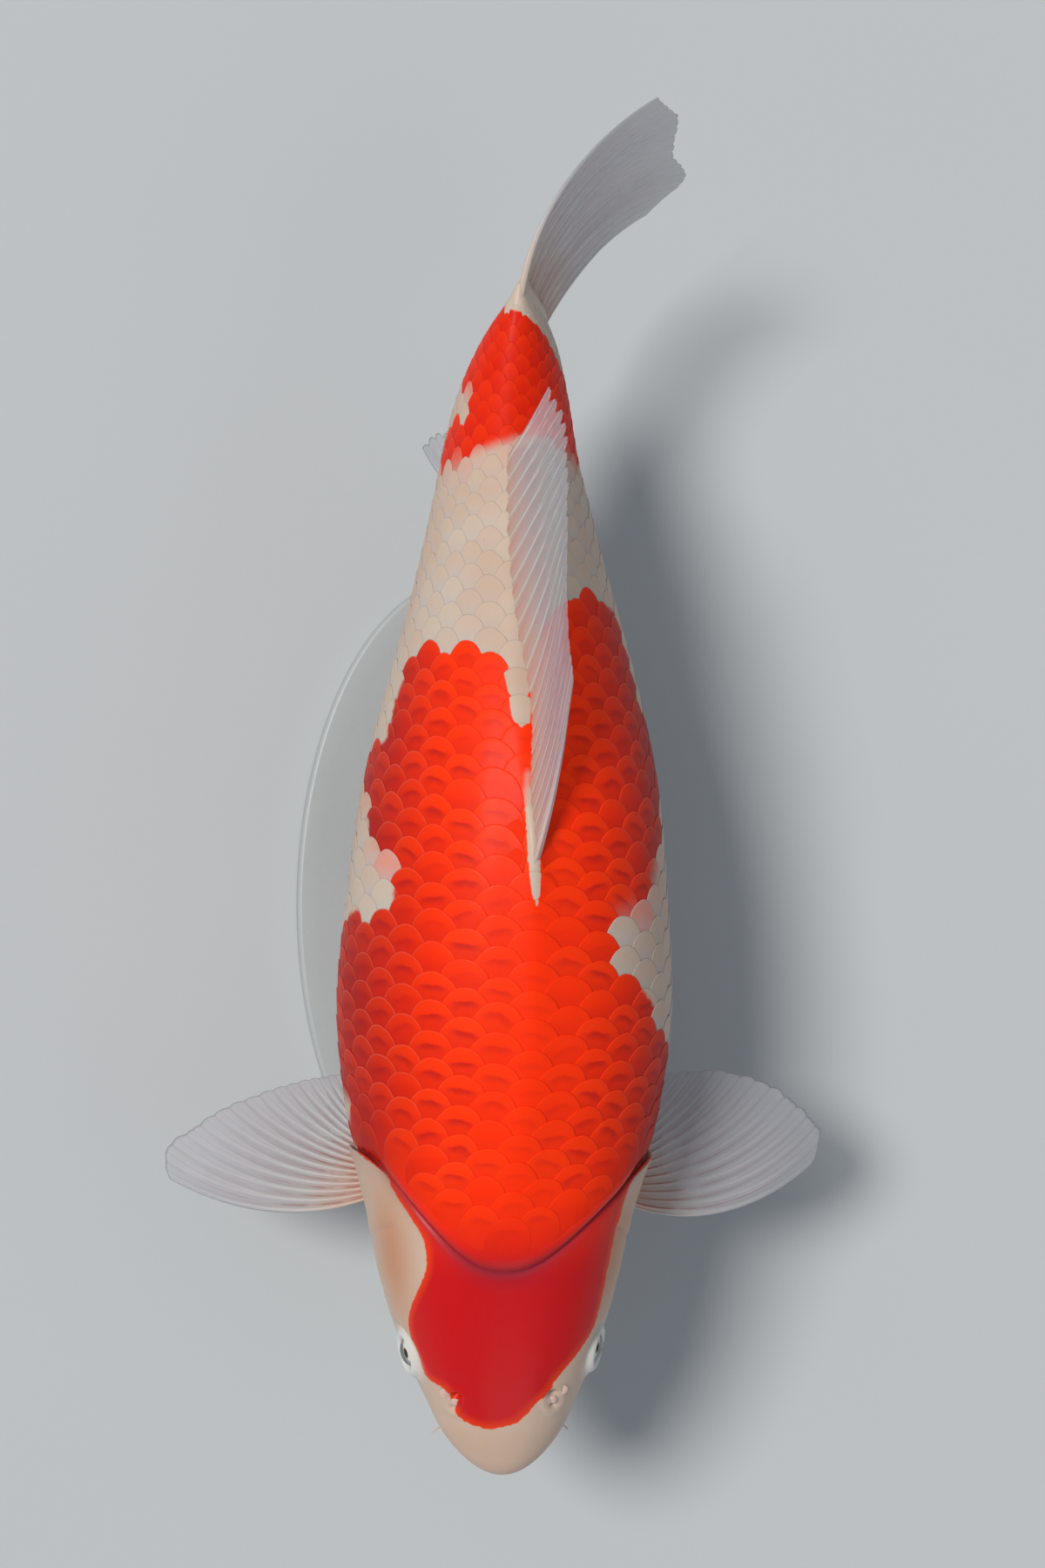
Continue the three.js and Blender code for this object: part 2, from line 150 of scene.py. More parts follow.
def beside(station, side, up):
    """A point beside the spine: side is towards the fish's left, up is towards its back."""
    station, side, up = np.broadcast_arrays(np.asarray(station, float), side, up)
    x, y, heading = spine_at(station)
    roll = sum(math.radians(turn) * ease((station - a) / (b - a)) for turn, a, b in ROLLS)
    out = side * np.cos(roll) + up * np.sin(roll)
    high = up * np.cos(roll) - side * np.sin(roll)
    return np.stack([x + np.cos(heading) * out, y - np.sin(heading) * out, AXIS_HEIGHT + high], -1)


def section_at(station, grow=0.0):
    nose = np.sqrt(1 - (1 - np.clip(station / NOSE_ROUND, 0, 1)) ** 2)
    wide, back, belly, level, upper, lower = (
        through(SECTIONS[:, 0], SECTIONS[:, k], station) for k in range(1, 7)
    )
    fair = ease((station - FLESH_LENGTH) / TAIL_FAIRING)
    wide = wide * nose * (1 - 0.9 * fair) + grow
    return wide, back * nose - 3 * fair + grow, belly * nose - 3 * fair + grow, level * nose, upper, lower


def skin_at(station, turn, grow=0.0):
    """The flesh's surface, grown outwards by some millimetres."""
    station, turn, grow = np.broadcast_arrays(np.asarray(station, float), turn, grow)
    wide, back, belly, level, upper, lower = section_at(station, grow)
    c, d = np.cos(turn), np.sin(turn)
    power = 2 / np.where(c > 0, upper, lower)
    reach = np.where(c > 0, back - level, belly + level)
    side = wide * np.sign(d) * np.abs(d) ** power
    return beside(station, side, level + reach * np.sign(c) * np.abs(c) ** power)


def head_end(turn):
    """Station of the nape, the gill cover's hind edge and the throat, at a turn."""
    c, d = np.cos(turn), np.abs(np.sin(turn))
    top = mix(NAPE, GILL_EDGE, ease(np.arctan2(d, c) / SHOULDER_TURN))
    return np.where(c > 0, top, mix(THROAT, GILL_EDGE, d**THROAT_POWER))


# Half the girth at each station, and the turn at each share of it from the back to the belly.
GRID_STEP = 5.0
GRID_STATIONS = np.arange(0, 611, GRID_STEP)
SHARE_STEPS = 100


def girth_tables(turns):
    """Half the girth at each station of the grid, and the turns at even shares of it."""
    walks = np.linalg.norm(np.diff(skin_at(GRID_STATIONS[:, None], turns), axis=1), axis=2)
    walks = np.concatenate([np.zeros((len(walks), 1)), np.cumsum(walks, 1)], 1)
    shares = np.linspace(0, 1, SHARE_STEPS + 1)
    at_shares = [
        np.interp(shares * walk[-1], walk, turns) if walk[-1] else np.zeros(shares.shape) for walk in walks
    ]
    return walks[:, -1], np.stack(at_shares)


HALF_GIRTH, TURN_OF_SHARE = girth_tables(np.linspace(0, math.pi, 181))


def half_girth(station):
    return np.interp(station, GRID_STATIONS, HALF_GIRTH)


def turn_at(station, share):
    """The turn at a share of the half girth; a share runs from -1 to 1 and joins up at the belly."""
    share = (share + 1) % 2 - 1
    row = np.clip(station / GRID_STEP, 0, len(GRID_STATIONS) - 1.001)
    column = np.clip(np.abs(share) * SHARE_STEPS, 0, SHARE_STEPS - 0.001)
    i, j = row.astype(int), column.astype(int)
    f, g = row - i, column - j
    low = mix(TURN_OF_SHARE[i, j], TURN_OF_SHARE[i, j + 1], g)
    high = mix(TURN_OF_SHARE[i + 1, j], TURN_OF_SHARE[i + 1, j + 1], g)
    return np.sign(share) * mix(low, high, f)


def wrapped(turn):
    return (turn + math.pi) % (2 * math.pi) - math.pi


def across(station, turn, from_turn=0.0):
    """Millimetres round the body from one turn to another."""
    return wrapped(turn - from_turn) * half_girth(station) / math.pi


# Soft swellings that both the skin and the scales follow: station, turn, height, and half length and
# half width. They are the muscles at the roots of the paired fins and of the anal fin, and the foot of
# the dorsal fin.
SWELLINGS = (
    (154, 121, 3.5, 16, 14),
    (154, -121, 3.5, 16, 14),
    (300, 157, 3, 20, 12),
    (300, -157, 3, 20, 12),
    (470, 180, 2.5, 28, 10),
    (318, 1, 3.2, 17, 4.2),
)
KEEL = {"height": 1.6, "width": 9, "start": 125, "rise": 50, "end": 560, "fall": 80}
NAPE_SWELLING = {"height": 2.4, "rise": 9, "length": 60}
SIDE_START, SIDE_SPAN = math.radians(42), math.radians(26)

# The scales come to their full depth in these lengths, and fade out at the foot of the dorsal fin. The
# middle row has none between two stations there.
FADE_IN = {"nape": 62, "side": 13, "tail": 28}
BARE_FOOT = {"at": 322, "turn": math.radians(0.6), "length": 32, "width": 4.5, "scaleless": (296, 340)}
BARE_DEPTH = 0.12  # depth of the skin under the rims of the scales that fade out


def side_share(turn):
    """0 over the nape, 1 along the gill cover."""
    return ease((np.abs(wrapped(turn)) - SIDE_START) / SIDE_SPAN)


def relief(station, turn):
    """How far the body stands out from the plain loft."""
    rise = KEEL["height"] * bump(across(station, turn), KEEL["width"])
    rise = rise * ease((station - KEEL["start"]) / KEEL["rise"])
    rise = rise * ease((KEEL["end"] - station) / KEEL["fall"])
    behind = station - head_end(turn)
    swell = ease(behind / NAPE_SWELLING["rise"]) * (1 - ease(behind / NAPE_SWELLING["length"]))
    rise = rise + NAPE_SWELLING["height"] * swell * (1 - side_share(turn))
    for at, centre, height, length, width in SWELLINGS:
        aside = across(station, turn, math.radians(centre))
        rise = rise + height * bump(station - at, length) * bump(aside, width)
    return rise


def cover(station, turn):
    """How deep the skin lies under the scales: 0 where they fade out at the nape and the tail, else 1."""
    f = BARE_FOOT
    shown = ease((station - head_end(turn)) / mix(FADE_IN["nape"], FADE_IN["side"], side_share(turn)))
    foot = bump(across(station, turn, f["turn"]), f["width"]) * bump(station - f["at"], f["length"])
    return shown * ease((FLESH_LENGTH - 2 - station) / FADE_IN["tail"]) * (1 - foot)


# ---- Markings ------------------------------------------------------------------------------------
# A red patch hangs over the ridge of the back like a saddle. Down each flank it has an even reach in
# degrees of turn, with lobes of red (+) and bays of white (-): the stations where each one starts, is
# whole, begins to fade and ends, and its degrees. The places across its two ends are a station and a turn.
BACK_PATCH = {
    "front": ((40, -38), (33, -31), (29, -11), (32, 8), (42, 20)),
    "left": (
        (48, 436, 54),
        (
            (20, 30, 46, 82, -26),  # over the eye
            (152, 170, 200, 236, 47),  # shoulder
            (225, 268, 283, 298, -27),  # white bay behind it
            (292, 350, 372, 390, 26),  # flank
            (378, 395, 430, 444, 20),  # hip
        ),
    ),
    "rear": ((438, 40), (430, 20), (406, 9), (375, 3), (377, -4), (404, -7), (410, -25), (410, -45)),
    "right": (
        (406, 44, 56),
        (
            (20, 30, 48, 56, -19),  # over the nostril
            (76, 116, 120, 162, -22),  # white bay on the cheek
            (154, 170, 264, 286, 51),  # shoulder
            (170, 181, 186, 193, -27),  # notch in it
            (302, 314, 392, 410, 11),  # flank
            (326, 350, 360, 367, 29),  # tooth
        ),
    ),
}
TAIL_PATCH = {
    "front": ((502, -75), (504, -45), (508, -25), (512, -4), (516, 14), (514, 38), (507, 64), (500, 82)),
    "left": ((507, 572, 98), ((548, 574, 590, 600, -56),)),  # slants away at the rear
    "rear": ((575, 25), (575, -5), (577, -35), (577, -60)),
    "right": (
        (574, 505, 97),
        (
            (514, 527, 534, 546, -55),  # white notch between two legs
            (560, 580, 590, 600, -30),  # rounded corner
        ),
    ),
}
WHITE_FOOT = (320, 0.7, 32, 2.2)  # bare oval in front of the dorsal fin: station, turn and half sizes
PALE_SCALES = ((310, -60), (285, 40))  # single pink scales at the edge of a white patch
EDGE_STEP = 4  # from one place of a patch's edge to the next, down a flank
SHARP_EDGE, BLURRED_EDGE = 0.35, 3.2


def closed_curve(outline):
    """A smooth closed curve through an outline's points, in millimetres along and round the body."""
    points = np.array(outline, float)
    points[:, 1] = np.radians(points[:, 1]) * half_girth(points[:, 0]) / math.pi
    t = np.array((0, 0.5))[:, None]
    p0, p1, p2, p3 = (np.roll(points, k, 0)[:, None] for k in (1, 0, -1, -2))
    curve = 2 * p1 + (p2 - p0) * t + (2 * p0 - 5 * p1 + 4 * p2 - p3) * t**2
    return ((curve + (3 * p1 - p0 - 3 * p2 + p3) * t**3) / 2).reshape(-1, 2)


def flank_edge(side, span, lobes):
    """Where a red patch ends down one flank, from the span's first station to its last. side is 1 for
    the left and -1 for the right."""
    first, last, reach = span
    stations = np.arange(first, last, math.copysign(EDGE_STEP, last - first))
    for start, whole, fading, end, degrees in lobes:
        shown = ease((stations - start) / (whole - start)) * ease((end - stations) / (end - fading))
        reach = reach + degrees * shown
    return np.stack([stations, side * reach], 1)


def patch_outline(patch):
    left, right = flank_edge(1, *patch["left"]), flank_edge(-1, *patch["right"])
    return closed_curve(np.concatenate([patch["front"], left, patch["rear"], right]))


def oval_outline(station, turn, length, width):
    angle = np.linspace(0, 2 * math.pi, 12, endpoint=False)
    return closed_curve(np.stack([station + length * np.cos(angle), turn + width * np.sin(angle)], 1))


def inside(curve, points, batch=8192):
    """Signed distance to a closed curve, positive inside it, worked out for a batch of points at a time."""
    result = np.empty(len(points))
    a, b = curve, np.roll(curve, -1, 0)
    edge = b - a
    squares = (edge**2).sum(1)
    rise = np.where(edge[:, 1] == 0, 1, edge[:, 1])
    for start in range(0, len(points), batch):
        p = points[start : start + batch, None]
        t = np.clip(((p - a) * edge).sum(2) / squares, 0, 1)
        near = np.sqrt((((p - a) - t[..., None] * edge) ** 2).sum(2)).min(1)
        straddles = (a[:, 1] > p[..., 1]) != (b[:, 1] > p[..., 1])
        hits = straddles & (p[..., 0] < a[:, 0] + edge[:, 0] * (p[..., 1] - a[:, 1]) / rise)
        result[start : start + batch] = np.where(hits.sum(1) % 2 == 1, near, -near)
    return result


def redness(station, turn):
    """Millimetres inside the nearest red patch, negative on white."""
    plan = np.stack([np.ravel(station), np.ravel(across(station, turn))], 1)
    depth = np.maximum(inside(patch_outline(BACK_PATCH), plan), inside(patch_outline(TAIL_PATCH), plan))
    depth = np.minimum(depth, -inside(oval_outline(*WHITE_FOOT), plan))
    return depth.reshape(np.shape(station))


def edge_softness(station, turn):
    """Half width of a patch's edge: sharp at its rear and sides, blurred in front on the scaled body."""
    step = 3
    slope = (redness(station + step, turn) - redness(station - step, turn)) / (2 * step)
    on_body = ease((station - head_end(turn)) / 20)
    return mix(SHARP_EDGE, BLURRED_EDGE, ease((slope - 0.25) / 0.5) * on_body)


# ---- Meshes --------------------------------------------------------------------------------------
def grid_quads(rows, columns, closed=False):
    r = np.arange(rows - 1)[:, None]
    c = np.arange(columns if closed else columns - 1)[None, :]
    n = (c + 1) % columns
    cells = [r * columns + c, r * columns + n, (r + 1) * columns + n, (r + 1) * columns + c]
    return np.stack(cells, -1).reshape(-1, 4)


def make_piece(name, points, quads, triangles=(), facts=None, places=None):
    """A mesh object from points in millimetres. facts are named values of each point, and places its
    spots on the map for baking, one for each corner of each face."""
    quads = np.asarray(quads, int).reshape(-1, 4)
    triangles = np.asarray(triangles, int).reshape(-1, 3)
    a, b, c = (points[triangles[:, k]] for k in range(3))
    volume = (np.cross(a, b) * c).sum()
    for i, j, k in ((0, 1, 2), (0, 2, 3)):
        a, b, c = (points[quads[:, n]] for n in (i, j, k))
        volume += (np.cross(a, b) * c).sum()
    corner_order = np.arange(quads.size + triangles.size)
    if volume < 0:  # faces point inwards
        corner_order[: quads.size] = corner_order[: quads.size].reshape(-1, 4)[:, ::-1].ravel()
        corner_order[quads.size :] = corner_order[quads.size :].reshape(-1, 3)[:, ::-1].ravel()
    corners = np.concatenate([quads.ravel(), triangles.ravel()])[corner_order]
    starts = np.concatenate(
        [4 * np.arange(len(quads)), quads.size + 3 * np.arange(len(triangles))]
    )
    mesh = bpy.data.meshes.new(name)
    mesh.vertices.add(len(points))
    mesh.loops.add(len(corners))
    mesh.polygons.add(len(starts))
    mesh.vertices.foreach_set("co", (points * MM).astype(np.float32).ravel())
    mesh.polygons.foreach_set("loop_start", starts.astype(np.int32))
    mesh.polygons.foreach_set("vertices", corners.astype(np.int32))
    mesh.polygons.foreach_set("use_smooth", np.ones(len(starts), bool))
    mesh.update(calc_edges=True)
    for key, values in (facts or {}).items():
        layer = mesh.attributes.new(key, "FLOAT", "POINT")
        layer.data.foreach_set("value", np.ravel(values).astype(np.float32))
    if places is not None:
        layer = mesh.uv_layers.new(name="OFBake")
        layer.data.foreach_set("uv", places[corner_order].astype(np.float32).ravel())
    if mesh.validate():
        raise RuntimeError(f"{name} has broken faces")
    piece = bpy.data.objects.new(name, mesh)
    bpy.context.scene.collection.objects.link(piece)
    return piece


def finish_piece(piece, material, slot, *nodes):
    """Gives a piece its material, hangs it on the root and hides the frame's solids it stands for. slot is
    not used.
    """
    piece.data.materials.append(material)
    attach(piece, "root")
    if nodes:
        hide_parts(*nodes)


def circle(first, second, sides):
    """Points round a unit circle, from one direction towards another at right angles to it."""
    angle = 2 * math.pi * np.arange(sides)[:, None] / sides
    return np.cos(angle) * first + np.sin(angle) * second


def closed_rings(rings, start, end):
    """A closed surface over rings of points, with one more point at each end, as points and faces."""
    count, sides, _ = rings.shape
    points = np.concatenate([rings.reshape(-1, 3), [start], [end]])
    here, last = np.arange(sides), (count - 1) * sides
    ahead = (here + 1) % sides
    front = np.stack([np.full(sides, len(points) - 2), ahead, here], 1)
    rear = np.stack([np.full(sides, len(points) - 1), last + here, last + ahead], 1)
    return points, grid_quads(count, sides, closed=True), np.concatenate([front, rear])


def repeated(faces, times, size):
    """The faces of one part of size points, repeated for parts that follow each other."""
    return (faces + size * np.arange(times)[:, None, None]).reshape(-1, faces.shape[1])


def tube(centres, radii, sides=14):
    """A closed round tube along points, as points and faces."""
    along = np.gradient(centres, axis=0)
    along /= np.linalg.norm(along, axis=1, keepdims=True)
    first = np.cross(along, (0.31, 0.2, 0.93))  # any direction that no feeler runs along
    first /= np.linalg.norm(first, axis=1, keepdims=True)
    rings = circle(first[:, None], np.cross(along, first)[:, None], sides)
    return closed_rings(centres[:, None] + rings * radii[:, None, None], centres[0], centres[-1])


def turned(profile, centre, axis, sides):
    """A surface turned round an axis from a profile of (radius, height) that starts and ends on it, as
    points and faces, and the points' radii."""
    axis = axis / np.linalg.norm(axis)
    first = np.cross(axis, (0, 0, 1)) if abs(axis[2]) < 0.9 else np.cross(axis, (0, 1, 0))
    first = first / np.linalg.norm(first)
    profile = np.asarray(profile, float)
    inner = profile[1:-1]
    ring = circle(first, np.cross(axis, first), sides)
    rings = centre + inner[:, 0, None, None] * ring + inner[:, 1, None, None] * axis
    ends = [centre + profile[k, 1] * axis for k in (0, -1)]
    radii = np.concatenate([np.repeat(inner[:, 0], sides), [0, 0]])
    return *closed_rings(rings, *ends), radii


# ---- Colours and materials -----------------------------------------------------------------------
def linear(code):
    """An sRGB hex colour as linear red, green and blue."""
    parts = [int(code[i : i + 2], 16) / 255 for i in (0, 2, 4)]
    return tuple(p / 12.92 if p <= 0.04045 else ((p + 0.055) / 1.055) ** 2.4 for p in parts)


def colour_property(name, description, code):
    return FloatVectorProperty(
        name=name, description=description, subtype="COLOR", size=3, min=0, max=1, default=linear(code)
    )


class KoiColours(bpy.types.PropertyGroup):
    """Colours of the fish and its stand."""

    red_head: colour_property("Head red", "Deep red of the bare head", "C01318")
    red_back: colour_property("Back red", "Orange red along the back", "FB2F06")
    # Painted shade: the flank red is partly the red's own deeper tone and partly shade painted in low on the
    # sides.
    red_flank_with_painted_shade: colour_property("Flank red", "Darker red low on the sides", "9A100E")
    red_tail: colour_property("Tail red", "Red of the patch at the tail", "D82008")
    white: colour_property("White", "Creamy white of the body", "C4B2A3")
    cream: colour_property("Cream", "Warmer white on the snout and cheeks", "BA8363")
    blush: colour_property("Blush", "Pink where blood shows through", "D98A7C")
    grey: colour_property("Pearl grey", "Cool grey in the pockets between scales", "AEB0B6")
    # Painted shade: this grey goes into the pockets and along the rims of the white scales.
    fin: colour_property("Fin white", "Rays and membrane of the fins", "C8C5C6")
    membrane: colour_property("Membrane", "Thin skin between the rays of the fins", "8F95A3")
    fin_line: colour_property("Fin lines", "Fine veins between the rays", "8E4034")
    lid: colour_property("Eye ring", "Pale blueish skin round the eyes", "CDD3D4")
    feeler: colour_property("Feelers", "Pinkish skin of the feelers", "C79C8C")
    iris: colour_property("Iris", "Silvery ring of the eye", "F0F2EE")
    iris_gold: colour_property("Iris gold", "Warm ring round the pupil", "C08A3C")
    paint: colour_property("Stand paint", "Powder coat of the base", "A9ADB0")
    floor: colour_property("Floor", "Floor of the stage", "B9BEC2")


class KoiSizes(bpy.types.PropertyGroup):
    """Sizes of the scales."""

    coat_depth: FloatProperty(
        name="Coat depth", description="How deep the skin lies under the rims of the scales",
        default=0.00125, min=0.0005, max=0.003, subtype="DISTANCE", unit="LENGTH",
    )
    plate_thickness: FloatProperty(
        name="Scale thickness", description="Thickness of one scale at its rim",
        default=0.00025, min=0.0001, max=0.001, subtype="DISTANCE", unit="LENGTH",
    )
    rows: IntProperty(
        name="Scale rows", description="Rows of scales from the back to the belly", default=16, min=6, max=20
    )


def add(tree, kind, inputs=(), **settings):
    """Adds one node with its settings. inputs maps a socket's name or number to a value, a socket or
    a node, whose first output in use is taken."""
    made = tree.nodes.new(kind)
    for key, value in settings.items():
        setattr(made, key, value)
    for key, value in dict(inputs).items():
        named = isinstance(key, str)
        socket = next(s for s in made.inputs if s.enabled and s.name == key) if named else made.inputs[key]
        if isinstance(value, bpy.types.Node):
            value = next(s for s in value.outputs if s.enabled)
        if isinstance(value, bpy.types.NodeSocket):
            tree.links.new(value, socket)
        elif socket.type == "RGBA":
            socket.default_value = (*value[:3], 1)
        else:
            socket.default_value = value
    return made


def new_material(name):
    """An empty material, its tree, and the place on the object that its patterns are laid out by."""
    made = bpy.data.materials.new(name)
    made.use_nodes = True
    made.node_tree.nodes.clear()
    return made, made.node_tree, add(made.node_tree, "ShaderNodeTexCoord").outputs["Object"]


def pigment(tree, place, colours, ragged):
    """The koi's pattern: its reds, its whites, and the share of red. ragged is how far the edge of a
    patch wanders, in millimetres."""
    station, side, mark, soft, warmth, blush = (
        add(tree, "ShaderNodeAttribute", attribute_name=name).outputs["Fac"]
        for name in ("station", "side", "mark", "soft", "warmth", "blush")
    )
    speckle, cloud = (
        add(tree, "ShaderNodeTexNoise", {"Vector": place, "Scale": 1 / (size * MM), "Detail": 3})
        for size in (2.4, 36)
    )
    wander = add(tree, "ShaderNodeMath", {0: speckle, 1: 0.5}, operation="SUBTRACT")
    edge = add(tree, "ShaderNodeMath", {0: wander, 1: ragged, 2: mark}, operation="MULTIPLY_ADD")
    below = add(tree, "ShaderNodeMath", {0: soft, 1: -1}, operation="MULTIPLY")
    share, head, tail, low, warm = (
        add(
            tree, "ShaderNodeMapRange", {"Value": value, "From Min": a, "From Max": b, "To Max": most},
            interpolation_type="SMOOTHSTEP",
        )
        for value, a, b, most in (
            (edge, below, soft, 1), (station, 0.15, 0.105, 1), (station, 0.42, 0.54, 1),
            (side, 0.1, 0.42, 1), (cloud, 0.35, 0.75, 0.22),
        )
    )
    red, white = colours.red_back, colours.white
    # Down the flanks the red darkens: partly its own deeper tone, partly painted shade.
    for amount, tint in ((low, colours.red_flank_with_painted_shade), (head, colours.red_head), (tail, colours.red_tail)):
        red = add(tree, "ShaderNodeMix", {"Factor": amount, "A": red, "B": tint}, data_type="RGBA")
    for amount, tint in ((warm, colours.cream), (warmth, colours.cream), (blush, colours.blush)):
        white = add(tree, "ShaderNodeMix", {"Factor": amount, "A": white, "B": tint}, data_type="RGBA")
    return red, white, share


def skin_material(colours):
    """Bare fish skin, wet with mucus: smooth and glossy over soft pigment, with fine pores."""
    made, tree, place = new_material("fish_skin_wet_with_mucus")
    red, white, share = pigment(tree, place, colours, 2.2)
    mark, lid, fold = (
        add(tree, "ShaderNodeAttribute", attribute_name=name).outputs["Fac"]
        for name in ("mark", "lid", "fold")
    )
    pores, waves = (
        add(tree, "ShaderNodeTexNoise", {"Vector": place, "Scale": 1 / (size * MM), "Detail": 3})
        for size in (1.1, 11)
    )
    # Red thins out to orange at the edge of a patch. The fold behind the head has blood in it, and painted
    # shade in its crease.
    fringe = add(
        tree, "ShaderNodeMapRange", {"Value": mark, "From Min": 5.0, "From Max": 0.0, "To Max": 0.5}
    )
    colour = white
    red = add(
        tree, "ShaderNodeMix", {"Factor": fringe, "A": red, "B": linear("F0500F")}, data_type="RGBA"
    )
    for amount, tint in ((share, red), (lid, colours.lid), (fold, linear("65273C"))):
        colour = add(tree, "ShaderNodeMix", {"Factor": amount, "A": colour, "B": tint}, data_type="RGBA")
    height = add(tree, "ShaderNodeMath", {0: waves, 1: 3.0, 2: pores}, operation="MULTIPLY_ADD")
    dents = add(tree, "ShaderNodeBump", {"Strength": 0.25, "Distance": 0.2 * MM, "Height": height})
    gloss = add(tree, "ShaderNodeMapRange", {"Value": waves, "To Min": 0.34, "To Max": 0.48})
    shader = add(
        tree, "ShaderNodeBsdfPrincipled",
        {
            "Base Color": colour, "Roughness": gloss, "Normal": dents, "IOR": 1.38,
            "Specular IOR Level": 0.18, "Subsurface Weight": 0.12,
            "Subsurface Radius": (1.0, 0.35, 0.2), "Subsurface Scale": 3 * MM,
            "Coat Weight": 0.1, "Coat Roughness": 0.2, "Coat IOR": 1.33,
        },
    )
    add(tree, "ShaderNodeOutputMaterial", {"Surface": shader})
    return made


def scale_material(colours):
    """Bony scales under thin wet skin: each darker in its pocket, paler at its free rim, faintly ringed."""
    made, tree, place = new_material("fish_scale_bone_under_wet_skin")
    red, white, share = pigment(tree, place, colours, 0.8)
    station, side, along, aside, rim, clear, seed, pore = (
        add(tree, "ShaderNodeAttribute", attribute_name=name).outputs["Fac"]
        for name in ("station", "side", "along", "aside", "rim", "clear", "seed", "pore")
    )
    patchy, drift, fine = (
        add(tree, "ShaderNodeTexNoise", {"Vector": place, "Scale": 1 / (size * MM), "Detail": 3})
        for size in (3.8, 15, 1.4)
    )
    # The smear's hind edge is an arch across the scale, a little tilted on each.
    lane = add(tree, "ShaderNodeMath", {0: drift, 1: 0.5, 2: 0.29}, operation="MULTIPLY_ADD")
    lane = add(tree, "ShaderNodeMath", {0: along, 1: lane}, operation="SUBTRACT")
    tilt = add(tree, "ShaderNodeMath", {0: seed, 1: 0.4, 2: -0.2}, operation="MULTIPLY_ADD")
    tilt = add(tree, "ShaderNodeMath", {0: aside, 1: 0.3, 2: tilt}, operation="MULTIPLY_ADD")
    off = add(tree, "ShaderNodeMath", {0: aside, 1: tilt, 2: lane}, operation="MULTIPLY_ADD")
    reach = add(tree, "ShaderNodeMath", {0: aside}, operation="ABSOLUTE")
    # Each is 0 to 1 between two values: the pocket where the scale ahead throws shade, a dark smear
    # across the middle of some scales that thins out to its ends and towards the tail, the rim, the
    # tip, and the lateral line's pore.
    pocket, sharp, fading, short, marked, ahead, rim_line, rim_shown, low, tip, tip_shown, *pore_edges = (
        add(
            tree, "ShaderNodeMapRange", {"Value": value, "From Min": a, "From Max": b},
            interpolation_type="SMOOTHSTEP",
        )
        for value, a, b in (
            (along, 0.62, 0.1), (off, 0.09, -0.02), (off, -0.3, 0.0), (reach, 0.75, 0.15),
            (seed, 0.0, 0.35), (station, 0.46, 0.36), (rim, 0.925, 0.975), (along, 0.1, 0.5),
            (side, 0.08, 0.36), (rim, 0.45, 0.85), (along, 0.35, 0.8), (reach, 0.1, 0.04),
            (along, 0.3, 0.5), (along, 0.85, 0.65),
        )
    )
    white_on, red_on, tones = 0, 1, [white, red]
    # Colour, share where scales show least and most, and where on the scale.
    for onto, tint, least, most, where in (
        (red_on, linear("FA3F0D"), 0.25, 0.25, (seed,)),
        (red_on, linear("FD4B10"), 0.05, 0.14, (tip, tip_shown)),
        (red_on, linear("B51912"), 0.04, 0.34, (pocket,)),
        (red_on, linear("9A1119"), 0.14, 0.6, (sharp, fading, short, marked, ahead)),
        (red_on, linear("E98F80"), 0.03, 0.15, (rim_line, rim_shown, low)),
        # Painted shade on the white scales: grey in their pockets and along their rims.
        (white_on, colours.grey, 0.1, 0.34, (pocket,)),
        (white_on, colours.grey, 0.05, 0.24, (rim_line, rim_shown)),
    ):
        amount = add(tree, "ShaderNodeMapRange", {"Value": clear, "To Min": least, "To Max": most})
        for factor in where:
            amount = add(tree, "ShaderNodeMath", {0: amount, 1: factor}, operation="MULTIPLY")
        tones[onto] = add(
            tree, "ShaderNodeMix", {"Factor": amount, "A": tones[onto], "B": tint}, data_type="RGBA"
        )
    for factor in pore_edges:
        pore = add(tree, "ShaderNodeMath", {0: pore, 1: factor}, operation="MULTIPLY")
    colour = tones[white_on]
    for amount, tint in ((share, tones[red_on]), (pore, linear("957C6F"))):
        colour = add(tree, "ShaderNodeMix", {"Factor": amount, "A": colour, "B": tint}, data_type="RGBA")
    rings = add(tree, "ShaderNodeMath", {0: rim, 1: 95.0}, operation="MULTIPLY")
    rings = add(tree, "ShaderNodeMath", {0: rings}, operation="SINE")
    height = add(tree, "ShaderNodeMath", {0: rings, 1: 0.05, 2: fine}, operation="MULTIPLY_ADD")
    dents = add(tree, "ShaderNodeBump", {"Strength": 0.3, "Distance": 0.2 * MM, "Height": height})
    gloss = add(tree, "ShaderNodeMapRange", {"Value": patchy, "To Min": 0.42, "To Max": 0.58})
    shader = add(
        tree, "ShaderNodeBsdfPrincipled",
        {
            "Base Color": colour, "Roughness": gloss, "Normal": dents, "IOR": 1.4,
            "Specular IOR Level": 0.11, "Subsurface Weight": 0.1,
            "Subsurface Radius": (1.0, 0.3, 0.15), "Subsurface Scale": 2 * MM,
            "Coat Weight": 0.04, "Coat Roughness": 0.2, "Coat IOR": 1.33,
        },
    )
    add(tree, "ShaderNodeOutputMaterial", {"Surface": shader})
    return made


